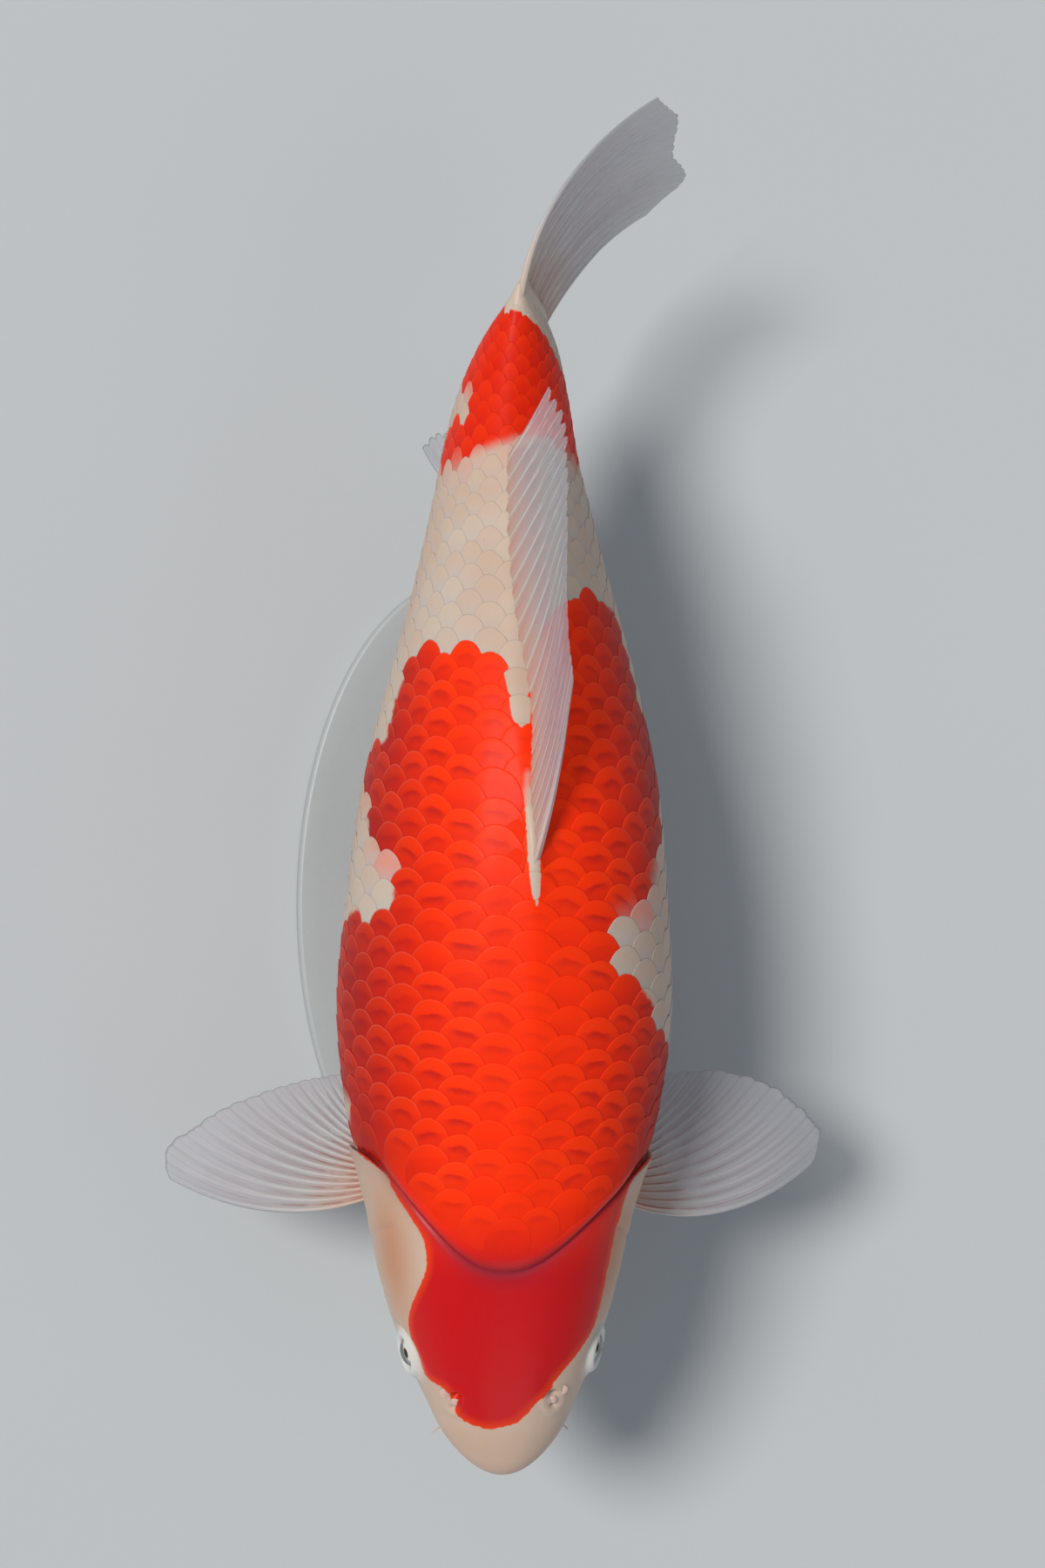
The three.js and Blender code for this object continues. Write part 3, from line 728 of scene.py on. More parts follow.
def fin_material(colours):
    """Thin skin stretched over horny rays: translucent between them, whiter and opaque on them."""
    made, tree, place = new_material("fin_skin_stretched_over_rays")
    ray, along, vein, blush, veil = (
        add(tree, "ShaderNodeAttribute", attribute_name=name).outputs["Fac"]
        for name in ("ray", "along", "vein", "blush", "veil")
    )
    cloud, fine = (
        add(tree, "ShaderNodeTexNoise", {"Vector": place, "Scale": 1 / (size * MM), "Detail": 3})
        for size in (17, 1.1)
    )
    between = add(tree, "ShaderNodeMath", {0: 1.0, 1: ray}, operation="SUBTRACT")
    root, outer, grey, broken = (
        add(
            tree, "ShaderNodeMapRange", {"Value": value, "From Min": a, "From Max": b, "To Max": most},
            interpolation_type="SMOOTHSTEP",
        )
        for value, a, b, most in (
            (along, 0.5, 0.04, 1), (along, 0.1, 0.6, 0.42), (along, 0.3, 0.95, 0.36), (cloud, 0.3, 0.55, 1),
        )
    )
    thin, lines = (
        add(tree, "ShaderNodeMath", {0: a, 1: b}, operation="MULTIPLY")
        for a, b in ((between, outer), (vein, broken))
    )
    colour = colours.fin
    for amount, tint in (
        (root, colours.white), (grey, colours.membrane), (thin, colours.membrane),
        (blush, colours.blush), (lines, colours.fin_line),
    ):
        colour = add(tree, "ShaderNodeMix", {"Factor": amount, "A": colour, "B": tint}, data_type="RGBA")
    solid = add(tree, "ShaderNodeMath", {0: ray, 1: veil}, operation="MAXIMUM")
    dents = add(tree, "ShaderNodeBump", {"Strength": 0.2, "Distance": 0.2 * MM, "Height": fine})
    gloss = add(tree, "ShaderNodeMapRange", {"Value": cloud, "To Min": 0.35, "To Max": 0.55})
    shader = add(
        tree, "ShaderNodeBsdfPrincipled",
        {
            "Base Color": colour, "Roughness": gloss, "Normal": dents, "IOR": 1.4, "Alpha": solid,
            "Specular IOR Level": 0.3, "Subsurface Weight": 0.5, "Subsurface Radius": (1.0, 0.8, 0.75),
            "Subsurface Scale": 4 * MM,
        },
    )
    add(tree, "ShaderNodeOutputMaterial", {"Surface": shader})
    return made


def iris_material(colours):
    """The eye's silvery guanine layer: a fine mottle, a gold ring at the pupil, black beyond its edge."""
    made, tree, place = new_material("iris_silvered_with_guanine")
    ring = add(tree, "ShaderNodeAttribute", attribute_name="ring").outputs["Fac"]
    mottle = add(tree, "ShaderNodeTexNoise", {"Vector": place, "Scale": 1 / (1.4 * MM), "Detail": 4})
    colour = colours.iris
    for value, a, b, most, tint in (
        (ring, 0.52, 0.42, 0.8, colours.iris_gold),
        (mottle, 0.5, 0.72, 0.2, linear("595D61")),
        (ring, 0.95, 1.0, 0.25, linear("3F454B")),
        (ring, 0.385, 0.365, 1, linear("0D0D10")),
    ):
        amount = add(
            tree, "ShaderNodeMapRange", {"Value": value, "From Min": a, "From Max": b, "To Max": most}
        )
        colour = add(tree, "ShaderNodeMix", {"Factor": amount, "A": colour, "B": tint}, data_type="RGBA")
    gloss = add(tree, "ShaderNodeMapRange", {"Value": mottle, "To Min": 0.22, "To Max": 0.4})
    shader = add(
        tree, "ShaderNodeBsdfPrincipled", {"Base Color": colour, "Roughness": gloss, "IOR": 1.4}
    )
    add(tree, "ShaderNodeOutputMaterial", {"Surface": shader})
    return made


def cornea_material():
    """The clear wet front of the eye: colourless, smooth, with one sharp highlight."""
    made, tree, place = new_material("cornea_clear_and_wet")
    film = add(tree, "ShaderNodeTexNoise", {"Vector": place, "Scale": 1 / (3.3 * MM), "Detail": 1})
    gloss = add(tree, "ShaderNodeMapRange", {"Value": film, "To Min": 0.02, "To Max": 0.06})
    shell = add(tree, "ShaderNodeBsdfTransparent", {"Color": linear("FCFDFD")})
    shine = add(tree, "ShaderNodeBsdfGlossy", {"Color": linear("FFFFFF"), "Roughness": gloss})
    edge = add(tree, "ShaderNodeFresnel", {"IOR": 1.376})
    shader = add(tree, "ShaderNodeMixShader", {0: edge, 1: shell, 2: shine})
    add(tree, "ShaderNodeOutputMaterial", {"Surface": shader})
    return made


def clouded_material(name, pale, dark, cloud_size, grain_size, grain_height, gloss, **shine):
    """A plain finish of two tones in soft clouds, with a fine grain that breaks up its gloss. The sizes
    are millimetres along x, y and z, and grain_height is in millimetres too."""
    made, tree, place = new_material(name)
    cloud, grain = (
        add(
            tree, "ShaderNodeTexNoise",
            {
                "Vector": add(
                    tree, "ShaderNodeMapping",
                    {"Vector": place, "Scale": [1 / (side * MM) for side in size]},
                ),
                "Scale": 1, "Detail": 3,
            },
        )
        for size in (cloud_size, grain_size)
    )
    colour = add(tree, "ShaderNodeMix", {"Factor": cloud, "A": pale, "B": dark}, data_type="RGBA")
    dents = add(tree, "ShaderNodeBump", {"Strength": 0.3, "Distance": grain_height * MM, "Height": grain})
    rough = add(tree, "ShaderNodeMapRange", {"Value": grain, "To Min": gloss[0], "To Max": gloss[1]})
    shader = add(
        tree, "ShaderNodeBsdfPrincipled",
        {"Base Color": colour, "Roughness": rough, "Normal": dents, **shine},
    )
    add(tree, "ShaderNodeOutputMaterial", {"Surface": shader})
    return made


def feeler_material(colours):
    """Soft bare skin of the feelers: moist, pinkish and finely wrinkled."""
    shine = {"IOR": 1.38, "Subsurface Weight": 0.2, "Subsurface Scale": 2 * MM}
    return clouded_material(
        "feeler_skin_soft_and_moist", colours.white, colours.feeler, [6] * 3, [1.5] * 3, 0.2, (0.3, 0.45),
        **shine,
    )


def paint_material(colours):
    """Steel under baked powder coat: satin, with orange peel about 1 mm across, drawn at 1.5 mm."""
    darker = [0.88 * part for part in colours.paint]
    return clouded_material(
        "steel_powder_coated", colours.paint, darker, [80] * 3, [1.5] * 3, 0.2, (0.38, 0.5), IOR=1.5
    )


def steel_material():
    """Stainless rod, brushed round: rings of scratches 0.3 mm apart, drawn at 0.6 mm, that stretch the
    highlight."""
    ring = [16, 16, 0.6]
    return clouded_material(
        "stainless_steel_brushed", linear("8F9296"), linear("C6C8CA"), ring, ring, 0.1, (0.22, 0.4),
        Metallic=1.0,
    )


def floor_material(colours):
    """Painted studio floor: matt, with the 5 mm stipple of a roller."""
    darker = [0.93 * part for part in colours.floor]
    return clouded_material(
        "floor_painted_by_roller", colours.floor, darker, [800] * 3, [5] * 3, 0.1, (0.6, 0.8)
    )


# ---- Skin ----------------------------------------------------------------------------------------
EYE = {"at": 66, "side": 41.2, "up": 11.5, "radius": 9.5, "open": 7.2, "aim": (0.93, 0.33, -0.2)}
NOSTRIL = {
    "at": 43, "turn": 34, "rim": {"length": 7.0, "width": 5.2, "height": 0.5},
    # Each pit's place along and aside of the middle, half length, half width and depth.
    "pits": ((3.0, -0.4, 2.2, 3.0, 3.2), (-3.2, 0.2, 1.5, 2.0, 2.0)),
    "leaves": (
        {"at": 47.2, "turn": 40, "wide": 2.7, "tall": 2.9, "lie": (0.35, 0.42, 1)},
        {"at": 42.6, "turn": 34, "wide": 2.2, "tall": 2.4, "lie": (-0.25, 0.6, 1)},
    ),
}
# Curves round the mouth, and how far the skin rises along each and over what half width.
LIPS = {
    "upper": {"front": 6, "back": 22, "half": 19, "up": -8, "drop": 8, "rise": 2.5, "wide": 2.1},
    "lower": {"front": 9, "back": 18, "half": 14, "up": -15, "drop": 8, "rise": 2.3, "wide": 2.0},
    "slit": {"front": 7.5, "back": 21, "half": 17, "up": -11.5, "drop": 8, "rise": -3.6, "wide": 1.15},
}
# The groove and the swelling at the gill cover's front edge, and the groove on the cheek ahead of it,
# each by its depth or height and its half width.
GILL_COVER = {
    "top": math.radians(50), "bottom": math.radians(148), "width": 46, "groove": (0.7, 1.5),
    "swelling": (0.5, 4.5), "swelling_behind": 5, "cheek": (0.35, 1.8), "cheek_ahead": 24,
}

# The fold where the head ends, as steps of station and height from the head's end. At the side the gill
# cover's free edge overhangs the shoulder; at the nape the back rises behind a crease.
SIDE_FOLD = (
    (-9, 0.15), (-6.5, 0.45), (-4.5, 0.8), (-3, 1.1), (-1.9, 1.3), (-1, 1.35), (-0.35, 1.1), (0, 0.55),
    (-0.1, -0.2), (-0.7, -1.0), (-1.7, -1.9), (-2.4, -2.6), (-1.6, -3.1), (0.4, -3.0), (2.6, -2.4),
    (5.2, -1.85), (8.5, -1.45), (12.5, -1.2),
)
NAPE_FOLD = (
    (-9, 0), (-6.5, 0), (-4.5, -0.1), (-3, -0.3), (-2, -0.6), (-1.2, -1.0), (-0.6, -1.3), (-0.2, -1.45),
    (0, -1.5), (0.3, -1.45), (0.8, -1.2), (1.4, -0.8), (2.2, -0.35), (3.4, 0.05), (5, 0.2), (7, 0.1),
    (9.8, -0.15), (13, -0.4),
)
FOLD_BOTTOM = 12  # rows of a fold before it belong to the head, and the others to the body
TRUNK_ROWS, TAIL_ROWS = 100, 9
MAP_HEIGHT = 0.94  # the skin's reach round the body on its map for baking


def local_frame(station):
    """Unit vectors at a station: to the fish's left, to its back, and towards its tail."""
    origin = beside(station, 0, 0)
    side, up = beside(station, 1, 0) - origin, beside(station, 0, 1) - origin
    return side, up, np.cross(up, side)


def eye_place(sign):
    """The centre of an eye, and the direction it looks in."""
    side, up, aft = local_frame(EYE["at"])
    out, high, back = EYE["aim"]
    axis = sign * out * side + high * up + back * aft
    return beside(EYE["at"], sign * EYE["side"], EYE["up"]), axis / np.linalg.norm(axis)


def lip_curve(which, count=41):
    f = LIPS[which]
    angle = np.radians(np.linspace(-84, 84, count))
    pull = 1 - np.cos(angle)
    return beside(f["front"] + f["back"] * pull, f["half"] * np.sin(angle), f["up"] - f["drop"] * pull)


def settled(curve, surface):
    """The points of a surface nearest to a curve's."""
    flat = surface.reshape(-1, 3)
    return np.array([flat[np.argmin(((flat - spot) ** 2).sum(1))] for spot in curve])


def distance_to(points, curve):
    best = np.full(points.shape[:-1], np.inf)
    for spot in curve:
        best = np.minimum(best, np.linalg.norm(points - spot, axis=-1))
    return best


def skin_columns():
    """Turns round the body, closer together where the eyes and nostrils are."""
    fine, coarse = np.arange(26, 86, 0.8), np.arange(86, 180, 1.2)
    side = np.concatenate([np.arange(1.6, 26, 1.6), fine, coarse])
    return np.radians(np.concatenate([-side[::-1], [0], side, [180]]))


def skin_rows():
    """Shares of the head's length, closer together at the snout and between nostril and eye."""
    snout = 0.19 * (1 - np.cos(np.linspace(0.07, math.pi / 2, 42)))
    return np.concatenate([snout, np.arange(0.195, 0.53, 0.0044), np.arange(0.535, 0.995, 0.0085)])


def around_eye(points, sign):
    """Moves the skin near an eye: a raised soft ring, and an opening that the eyeball fills."""
    centre, axis = eye_place(sign)
    _, up, _ = local_frame(EYE["at"])
    away = points - centre
    depth = away @ axis
    flat = away - depth[..., None] * axis
    r = np.linalg.norm(flat, axis=-1)
    above = (flat @ up) / np.maximum(r, 1e-6)
    level = np.sqrt(EYE["radius"] ** 2 - EYE["open"] ** 2)
    ring = (1.9 + 0.6 * above) * bump(r - 9.9, 2.6)
    groove = -0.5 * bump(r - 13.6, 1.4)
    brow = level + ring + groove - 0.02 * (r - 8) ** 2 * (r > 8)
    steep, lip = 1.6, 0.4
    socket = level - 0.5 - steep * (EYE["open"] - r)
    target = np.where(r < EYE["open"] + lip, np.minimum(brow, socket + steep * lip), brow)
    weight = 1 - ease((r - 11) / 7)
    weight = np.where(depth > 0, weight, 0)
    return points + ((target - depth) * weight)[..., None] * axis


def around_nostril(points, normals, sign):
    """Two pits, with a low wall between them for the flap, inside a shallow rim."""
    turn = sign * math.radians(NOSTRIL["turn"])
    centre = skin_at(NOSTRIL["at"], turn)
    side, up, aft = local_frame(NOSTRIL["at"])
    away = points - centre
    above = ease((away @ up + 14) / 6)
    along, aside = away @ aft, away @ (side * sign)
    rim = NOSTRIL["rim"]
    rise = rim["height"] * bump(np.hypot(along / rim["length"], aside / rim["width"]) - 1, 0.28)
    for pit_along, pit_aside, length, width, depth in NOSTRIL["pits"]:
        gap = np.hypot((along - pit_along) / length, (aside - pit_aside) / width)
        rise = rise - depth * bump(gap, 0.75)
    return points + (rise * above)[..., None] * normals


def head_relief(points, normals, station, turn):
    """Lips, gill cover grooves and the lie of the cheeks, along the skin's normals."""
    gaps = [distance_to(points, settled(lip_curve(which), points)) for which in LIPS]
    rise = sum(f["rise"] * bump(gap, f["wide"]) for gap, f in zip(gaps, LIPS.values()))
    upper, lower, slit = gaps
    rise = rise - 0.9 * bump(upper - 5.2, 1.6) * (slit > 5) - 0.9 * bump(lower - 4.6, 1.6) * (slit > 4.6)
    f = GILL_COVER
    down = (np.abs(turn) - f["top"]) / (f["bottom"] - f["top"])
    width = f["width"] * (0.35 + 0.65 * np.sin(math.pi * np.clip(down, 0, 1)) ** 0.6)
    front_edge = head_end(turn) - width
    shown = ease((down + 0.03) / 0.1) * ease((1.03 - down) / 0.1)
    deep, wide = f["groove"]
    rise = rise - deep * bump(station - front_edge, wide) * shown
    high, wide = f["swelling"]
    rise = rise + high * bump(station - front_edge - f["swelling_behind"], wide) * shown
    deep, wide = f["cheek"]
    cheek = bump(station - (front_edge - f["cheek_ahead"]), wide)
    rise = rise - deep * cheek * shown * ease((station - 74) / 8)
    # The skull's flat top has a shallow dip behind each nostril and a faint groove at mid line.
    aside = across(station, turn)
    rise = rise - 0.5 * bump(station - 52, 9) * bump(np.abs(aside) - 20, 6)
    rise = rise - 0.3 * bump(aside, 3) * bump(station - 70, 30)
    return points + rise[..., None] * normals


def surface_normals(grid):
    """Outward normals of a grid of points that is closed round its columns."""
    around = np.roll(grid, -1, 1) - np.roll(grid, 1, 1)
    normals = np.cross(np.gradient(grid, axis=0), around)
    length = np.linalg.norm(normals, axis=-1, keepdims=True)
    normals = normals / np.maximum(length, 1e-9)
    outward = grid - grid.mean(axis=1, keepdims=True)
    return normals * np.sign((normals * outward).sum(-1).mean())


def nostril_flaps():
    """Two small leaves of skin at the pits of each nostril, as points and faces."""
    height = np.linspace(-1, 1, 13)
    profile = np.stack([np.sqrt(1 - height**2), height], 1)
    ball, quads, triangles, _ = turned(profile, np.zeros(3), np.array((0.0, 0, 1)), 20)
    side, up, aft = local_frame(NOSTRIL["at"])
    leaves = []
    for sign in SIDES.values():
        for leaf in NOSTRIL["leaves"]:
            outward, high, back = leaf["lie"]
            lie = outward * sign * side + high * up + back * aft
            lie /= np.linalg.norm(lie)
            wide = np.cross(lie, up)
            wide /= np.linalg.norm(wide)
            bulge = 0.42 * ball[:, 1:2] + 0.8 * ball[:, :1] ** 2
            shape = ball[:, :1] * leaf["wide"] * wide + bulge * np.cross(lie, wide)
            centre = skin_at(leaf["at"], sign * math.radians(leaf["turn"]))
            leaves.append(centre + shape + (ball[:, 2:] + 0.15) * leaf["tall"] * lie)
    count, size = len(leaves), len(ball)
    return np.concatenate(leaves), repeated(quads, count, size), repeated(triangles, count, size)


def skin_rows_and_depths(turns, coat_depth):
    """The stations of the skin's rows at each turn, how far they stand out from the flesh, and how many
    rows the head has."""
    end, aside = head_end(turns), side_share(turns)
    head = skin_rows()[:, None] * (end + SIDE_FOLD[0][0])
    nape, side = (np.array(fold)[:, None] for fold in (NAPE_FOLD, SIDE_FOLD))
    fold = mix(nape, side, aside[:, None])
    folded = end + fold[..., 0]
    trunk = mix(folded[-1], FLESH_LENGTH, np.linspace(0, 1, TRUNK_ROWS)[1:, None])
    reach = TAIL_FAIRING * (0.7 + 0.3 * np.abs(np.sin(turns)))
    rest = FLESH_LENGTH + reach * np.linspace(0, 1, TAIL_ROWS)[1:, None]
    under_scales = -mix(BARE_DEPTH, coat_depth, cover(trunk, turns))
    grow = [np.zeros(head.shape), fold[..., 1], under_scales, np.full(rest.shape, -BARE_DEPTH)]
    return np.concatenate([head, folded, trunk, rest]), np.concatenate(grow), len(head)


def skin_facts(points, stations, turns, head_count):
    """What the skin's material reads at each point, and what it reads on the nostrils' flaps."""
    end, aside = head_end(turns), side_share(turns)
    # The gill cover's hind edge is pale all along, and the red starts behind it.
    shift = np.where(np.arange(len(stations)) < head_count + FOLD_BOTTOM, -2.5, 2.5)
    near_edge = bump(stations - end, 9) * aside
    mark = redness(stations + shift[:, None] * near_edge, turns)
    eye_gaps = [np.linalg.norm(points - eye_place(sign)[0], axis=-1) for sign in SIDES.values()]
    ring_white = bump(np.minimum(*eye_gaps) - 12, 3.2)
    # Along the crease where the head ends: blood and painted shade, a thin dark line inside a broad soft
    # band.
    crease_line_blood_and_shade = 0.38 * bump(stations - end - 0.3, 3.0) + 0.24 * bump(stations - end + 1, 7)
    crease_blood_and_shade = crease_line_blood_and_shade * mix(1, 0.35, aside) * ease((stations - 96) / 10)
    warmth = 0.9 * bump(stations - 116, 36) * bump(np.abs(turns) - 1.0, 0.3) + 0.3 * bump(stations, 34)
    mouth = distance_to(points, settled(lip_curve("slit"), points[:head_count]))
    return {
        "mark": (mark - 6 * ring_white, -6.0),
        "soft": (edge_softness(stations, turns), SHARP_EDGE),
        "station": (stations * MM, 0.043),
        "side": (np.abs(across(stations, turns)) / half_girth(stations), 0.2),
        "warmth": (warmth, 0.2),
        "blush": (0.5 * bump(mouth, 4.5) + 0.25 * crease_blood_and_shade, 0.5),
        "fold": (crease_blood_and_shade, 0.0),
        "lid": (0.9 * ring_white, 0.3),
    }


def skin_map(rows, columns, flaps):
    """The skin's own unwrap, split along the belly, with the flaps in a corner: a spot for each point."""
    along = 0.05 + 0.93 * np.arange(rows) / (rows - 1)
    around = 0.02 + MAP_HEIGHT * np.arange(columns) / columns
    grid = np.stack([np.repeat(along, columns), np.tile(around, rows)], 1)
    flap_spots = 0.01 + 0.03 * (flaps - flaps.min(0))[:, :2] / np.ptp(flaps, axis=0)[:2]
    return np.concatenate([grid, [[0.045, 0.5], [0.985, 0.5]], flap_spots])


def build_skin(sizes, colours):
    turns = skin_columns()
    stations, grow, head_count = skin_rows_and_depths(turns, sizes.coat_depth / MM)
    points = skin_at(stations, turns, grow + relief(stations, turns))
    plain = points[:head_count]
    normals = surface_normals(plain)
    shaped = head_relief(plain, normals, stations[:head_count], turns)
    for sign in SIDES.values():
        shaped = around_nostril(shaped, normals, sign)
        shaped = around_eye(shaped, sign)
    points[:head_count] = shaped
    body, quads, triangles = closed_rings(points, beside(0, 0, 0), beside(FLESH_LENGTH + TAIL_FAIRING, 0, 0))
    flaps, flap_quads, flap_triangles = nostril_flaps()
    quads = np.concatenate([quads, flap_quads + len(body)])
    triangles = np.concatenate([triangles, flap_triangles + len(body)])
    facts = {
        key: np.concatenate([grid.ravel(), [grid[0].mean(), grid[-1].mean()], np.full(len(flaps), on_flap)])
        for key, (grid, on_flap) in skin_facts(points, stations, turns, head_count).items()
    }
    spots = skin_map(*stations.shape, flaps)
    places = spots[np.concatenate([quads.ravel(), triangles.ravel()])]
    heights = places[: quads.size, 1].reshape(-1, 4)
    over_seam = (np.ptp(heights, axis=1) > 0.5)[:, None] & (heights < 0.5)
    places[: quads.size, 1] = np.where(over_seam, heights + MAP_HEIGHT, heights).ravel()
    piece = make_piece("koi_skin", np.concatenate([body, flaps]), quads, triangles, facts, places)
    nodes = ("head", "gill_cover_left", "gill_cover_right", "lip_upper", "lip_lower")
    finish_piece(piece, skin_material(colours), "skin", *nodes, "shoulder", "flank", "tail_stalk")


# ---- Scales --------------------------------------------------------------------------------------
# Station, and the step from one scale to the next along the body.
SCALE_STEPS = (
    (100, 12.5), (150, 13.5), (210, 14), (350, 14), (430, 12.8), (500, 10.8), (560, 9.3), (600, 8.5),
)
# A scale's size in steps and rows; how deep its root lies and dips, in depths of the coat; where its
# colour is read, from its middle; and its rings from the middle to the rim and round to the underside,
# as radius and share of the rim's thickness below the top.
PLATE = {
    "length": 1.08, "width": 0.82, "root": 0.92, "dip": 2.7, "seen": 0.45, "sides": 32, "map": 0.0015,
    "rings": ((0.3, 0), (0.52, 0), (0.7, 0), (0.84, 0), (0.93, 0), (0.98, 0.12), (1.0, 0.45), (0.985, 1)),
}
# How deep the first scales lie under the gill cover and the nape, how far ahead of the head's end that
# depth begins to fade, and over what length.
TUCKED = {"gill": (1.9, 2, 13), "nape": (3, -1, 9)}
LATERAL_ROW = 8
BACK_SHARE = 0.49  # scales nearer to the middle of the back than this share belong to its pieces


def plate_pattern():
    """One scale on a unit disc: along, aside, share of the rim's drop, and its faces."""
    disc = circle(np.array((1.0, 0, 0)), np.array((0, 1.0, 0)), PLATE["sides"])
    rings = np.stack([r * disc + (0, 0, drop) for r, drop in PLATE["rings"]])
    points, quads, triangles = closed_rings(rings, (0, 0, 0), (0, 0, 1))
    return *points.T, quads, triangles


def scale_lattice(rows):
    """Centres of all the scales: station, share of the half girth, and step along the body."""
    walk = [SCALE_STEPS[0][0]]
    at, step = np.array(SCALE_STEPS).T
    while walk[-1] < FLESH_LENGTH:
        walk.append(walk[-1] + float(np.interp(walk[-1], at, step)))
    found = []
    for row in range(1 - rows, rows + 1):
        for k in range(len(walk)):
            station = float(np.interp(k + 0.5 * (row % 2), np.arange(len(walk)), walk))
            share = row / rows
            turn = float(turn_at(np.array(station), np.array(share)))
            length = float(np.interp(station, at, step))
            too_far = station > FLESH_LENGTH - 1.1 * length
            on_foot = row == 0 and BARE_FOOT["scaleless"][0] < station < BARE_FOOT["scaleless"][1]
            clear_of_head = station > head_end(turn) + mix(0.8, 0.2, side_share(turn)) * length
            if clear_of_head and not too_far and not on_foot:
                found.append((station, share, length, row))
    return np.array(found)


def plate_heights(sizes, s, turn, px, drop):
    """How far the points of the plates stand out from the flesh, with each root tucked under the scale
    ahead, and the first ones under the gill cover and the nape."""
    depth = mix(BARE_DEPTH, sizes.coat_depth / MM, cover(s, turn))
    height = -PLATE["root"] * depth * (1 - (px + 1) / 2) - sizes.plate_thickness / MM * drop
    height = height - PLATE["dip"] * depth * np.clip(-0.45 - px, 0, 1) ** 2
    aside = side_share(turn)
    for edge, share in (("gill", aside), ("nape", 1 - aside)):
        deep, ahead, length = TUCKED[edge]
        height = height - deep * share * (1 - ease((s - head_end(turn) + ahead) / length))
    return height


def build_scales(sizes, colours):
    rng = np.random.default_rng(7)
    rows = sizes.rows
    centres = scale_lattice(rows)
    count = len(centres)
    station, share, step, row = centres.T
    station = station + rng.normal(0, 0.025, count) * step
    share = share + rng.normal(0, 0.02, count) / rows
    twist = rng.normal(0, 0.05, count)[:, None]
    bigness = 1 + rng.normal(0, 0.03, count)
    x, y, drop, quads, triangles = plate_pattern()
    wobble = 1 + 0.018 * np.sin(3 * np.arctan2(y, x)[None] + rng.uniform(0, 6.3, count)[:, None])
    wobble = wobble + 0.008 * np.sin(7 * np.arctan2(y, x)[None] + rng.uniform(0, 6.3, count)[:, None])
    px = (x * np.cos(twist) - y * np.sin(twist)) * wobble
    py = (y * np.cos(twist) + x * np.sin(twist)) * wobble
    length = PLATE["length"] * step * bigness
    width = PLATE["width"] * (half_girth(station) / rows) * bigness
    s = station[:, None] + px * length[:, None]
    lateral = share[:, None] + py * (width / half_girth(station))[:, None]
    turn = turn_at(s, lateral)
    s = np.maximum(s, head_end(turn) + 1.2)
    points = skin_at(s, turn, plate_heights(sizes, s, turn, px, drop) + relief(s, turn))
    # Each scale takes its colour from the middle of the part that shows.
    seen_s = station + PLATE["seen"] * length
    seen_turn = turn_at(seen_s, share)
    own = redness(seen_s, seen_turn) + rng.normal(0, 0.6, count)
    soft = edge_softness(seen_s, seen_turn)
    # Scales show least along the middle of the back and behind the nape, where the skin is thick.
    from_middle = np.abs(across(seen_s, seen_turn))
    clear = ease((from_middle - 1) / 34) * ease((seen_s - head_end(seen_turn) + 2) / 50)
    clear = np.maximum(mix(0.06, 1, clear), 0.6 * ease((seen_s - 500) / 25))
    mark = mix(own[:, None], redness(s, turn), mix(1, 0.2, clear)[:, None])
    blush = np.zeros(count)
    for at, degrees in PALE_SCALES:
        gap = np.hypot(seen_s - at, across(seen_s, seen_turn, math.radians(degrees)))
        nearest = int(np.argmin(gap))
        blush[nearest] = 0.85
        mark[nearest] = -6
    blush = np.maximum(blush, 0.3 * bump(own + 5, 4) * (soft > 1))
    of_points = {"mark": mark, "station": s * MM, "side": np.abs(lateral)}
    of_pattern = {"along": x, "aside": y, "rim": np.hypot(x, y)}
    of_scales = {
        "warmth": rng.uniform(0, 0.14, count), "seed": rng.uniform(0, 1, count), "soft": soft,
        "blush": blush, "clear": clear, "pore": (np.abs(row) == LATERAL_ROW) * 0.55,
    }
    facts = of_points | {key: np.broadcast_to(values, s.shape) for key, values in of_pattern.items()}
    facts |= {key: np.broadcast_to(values[:, None], s.shape) for key, values in of_scales.items()}
    spot = np.stack([0.02 + 0.95 * station / 600, 0.5 + 0.47 * share], 1)
    patch = spot[:, None] + PLATE["map"] * np.stack([x * (1 - 0.12 * drop), y * (1 - 0.12 * drop)], 1)
    material = scale_material(colours)
    on_back = np.abs(share) < BACK_SHARE
    for group, chosen in (("back", on_back), ("belly", ~on_back)):
        for side, sign in SIDES.items():
            mine = np.flatnonzero(chosen & (share * sign >= (0 if sign > 0 else 1e-9)))
            faces = [repeated(shape, len(mine), len(x)) for shape in (quads, triangles)]
            places = patch[mine].reshape(-1, 2)[np.concatenate([shape.ravel() for shape in faces])]
            mine_facts = {key: values[mine] for key, values in facts.items()}
            piece = make_piece(
                f"scales_{group}_{side}", points[mine].reshape(-1, 3), *faces, mine_facts, places
            )
            finish_piece(piece, material, "skin")


# ---- Eyes and feelers ----------------------------------------------------------------------------
# Profiles as radius and height along the eye's axis, and the radius at which the iris ends.
EYEBALL = {
    "radius": 9.2, "ring": 6.6,
    "front": (
        (6.35, 6.1), (6.0, 6.25), (4.3, 6.8), (3.0, 7.05), (2.6, 7.08), (2.4, 6.95), (1.5, 6.3), (0, 6.1),
    ),
}
CORNEA = {"radius": 9.45, "from": 5.2, "back": ((6.9, 5.6), (0, 5.6))}


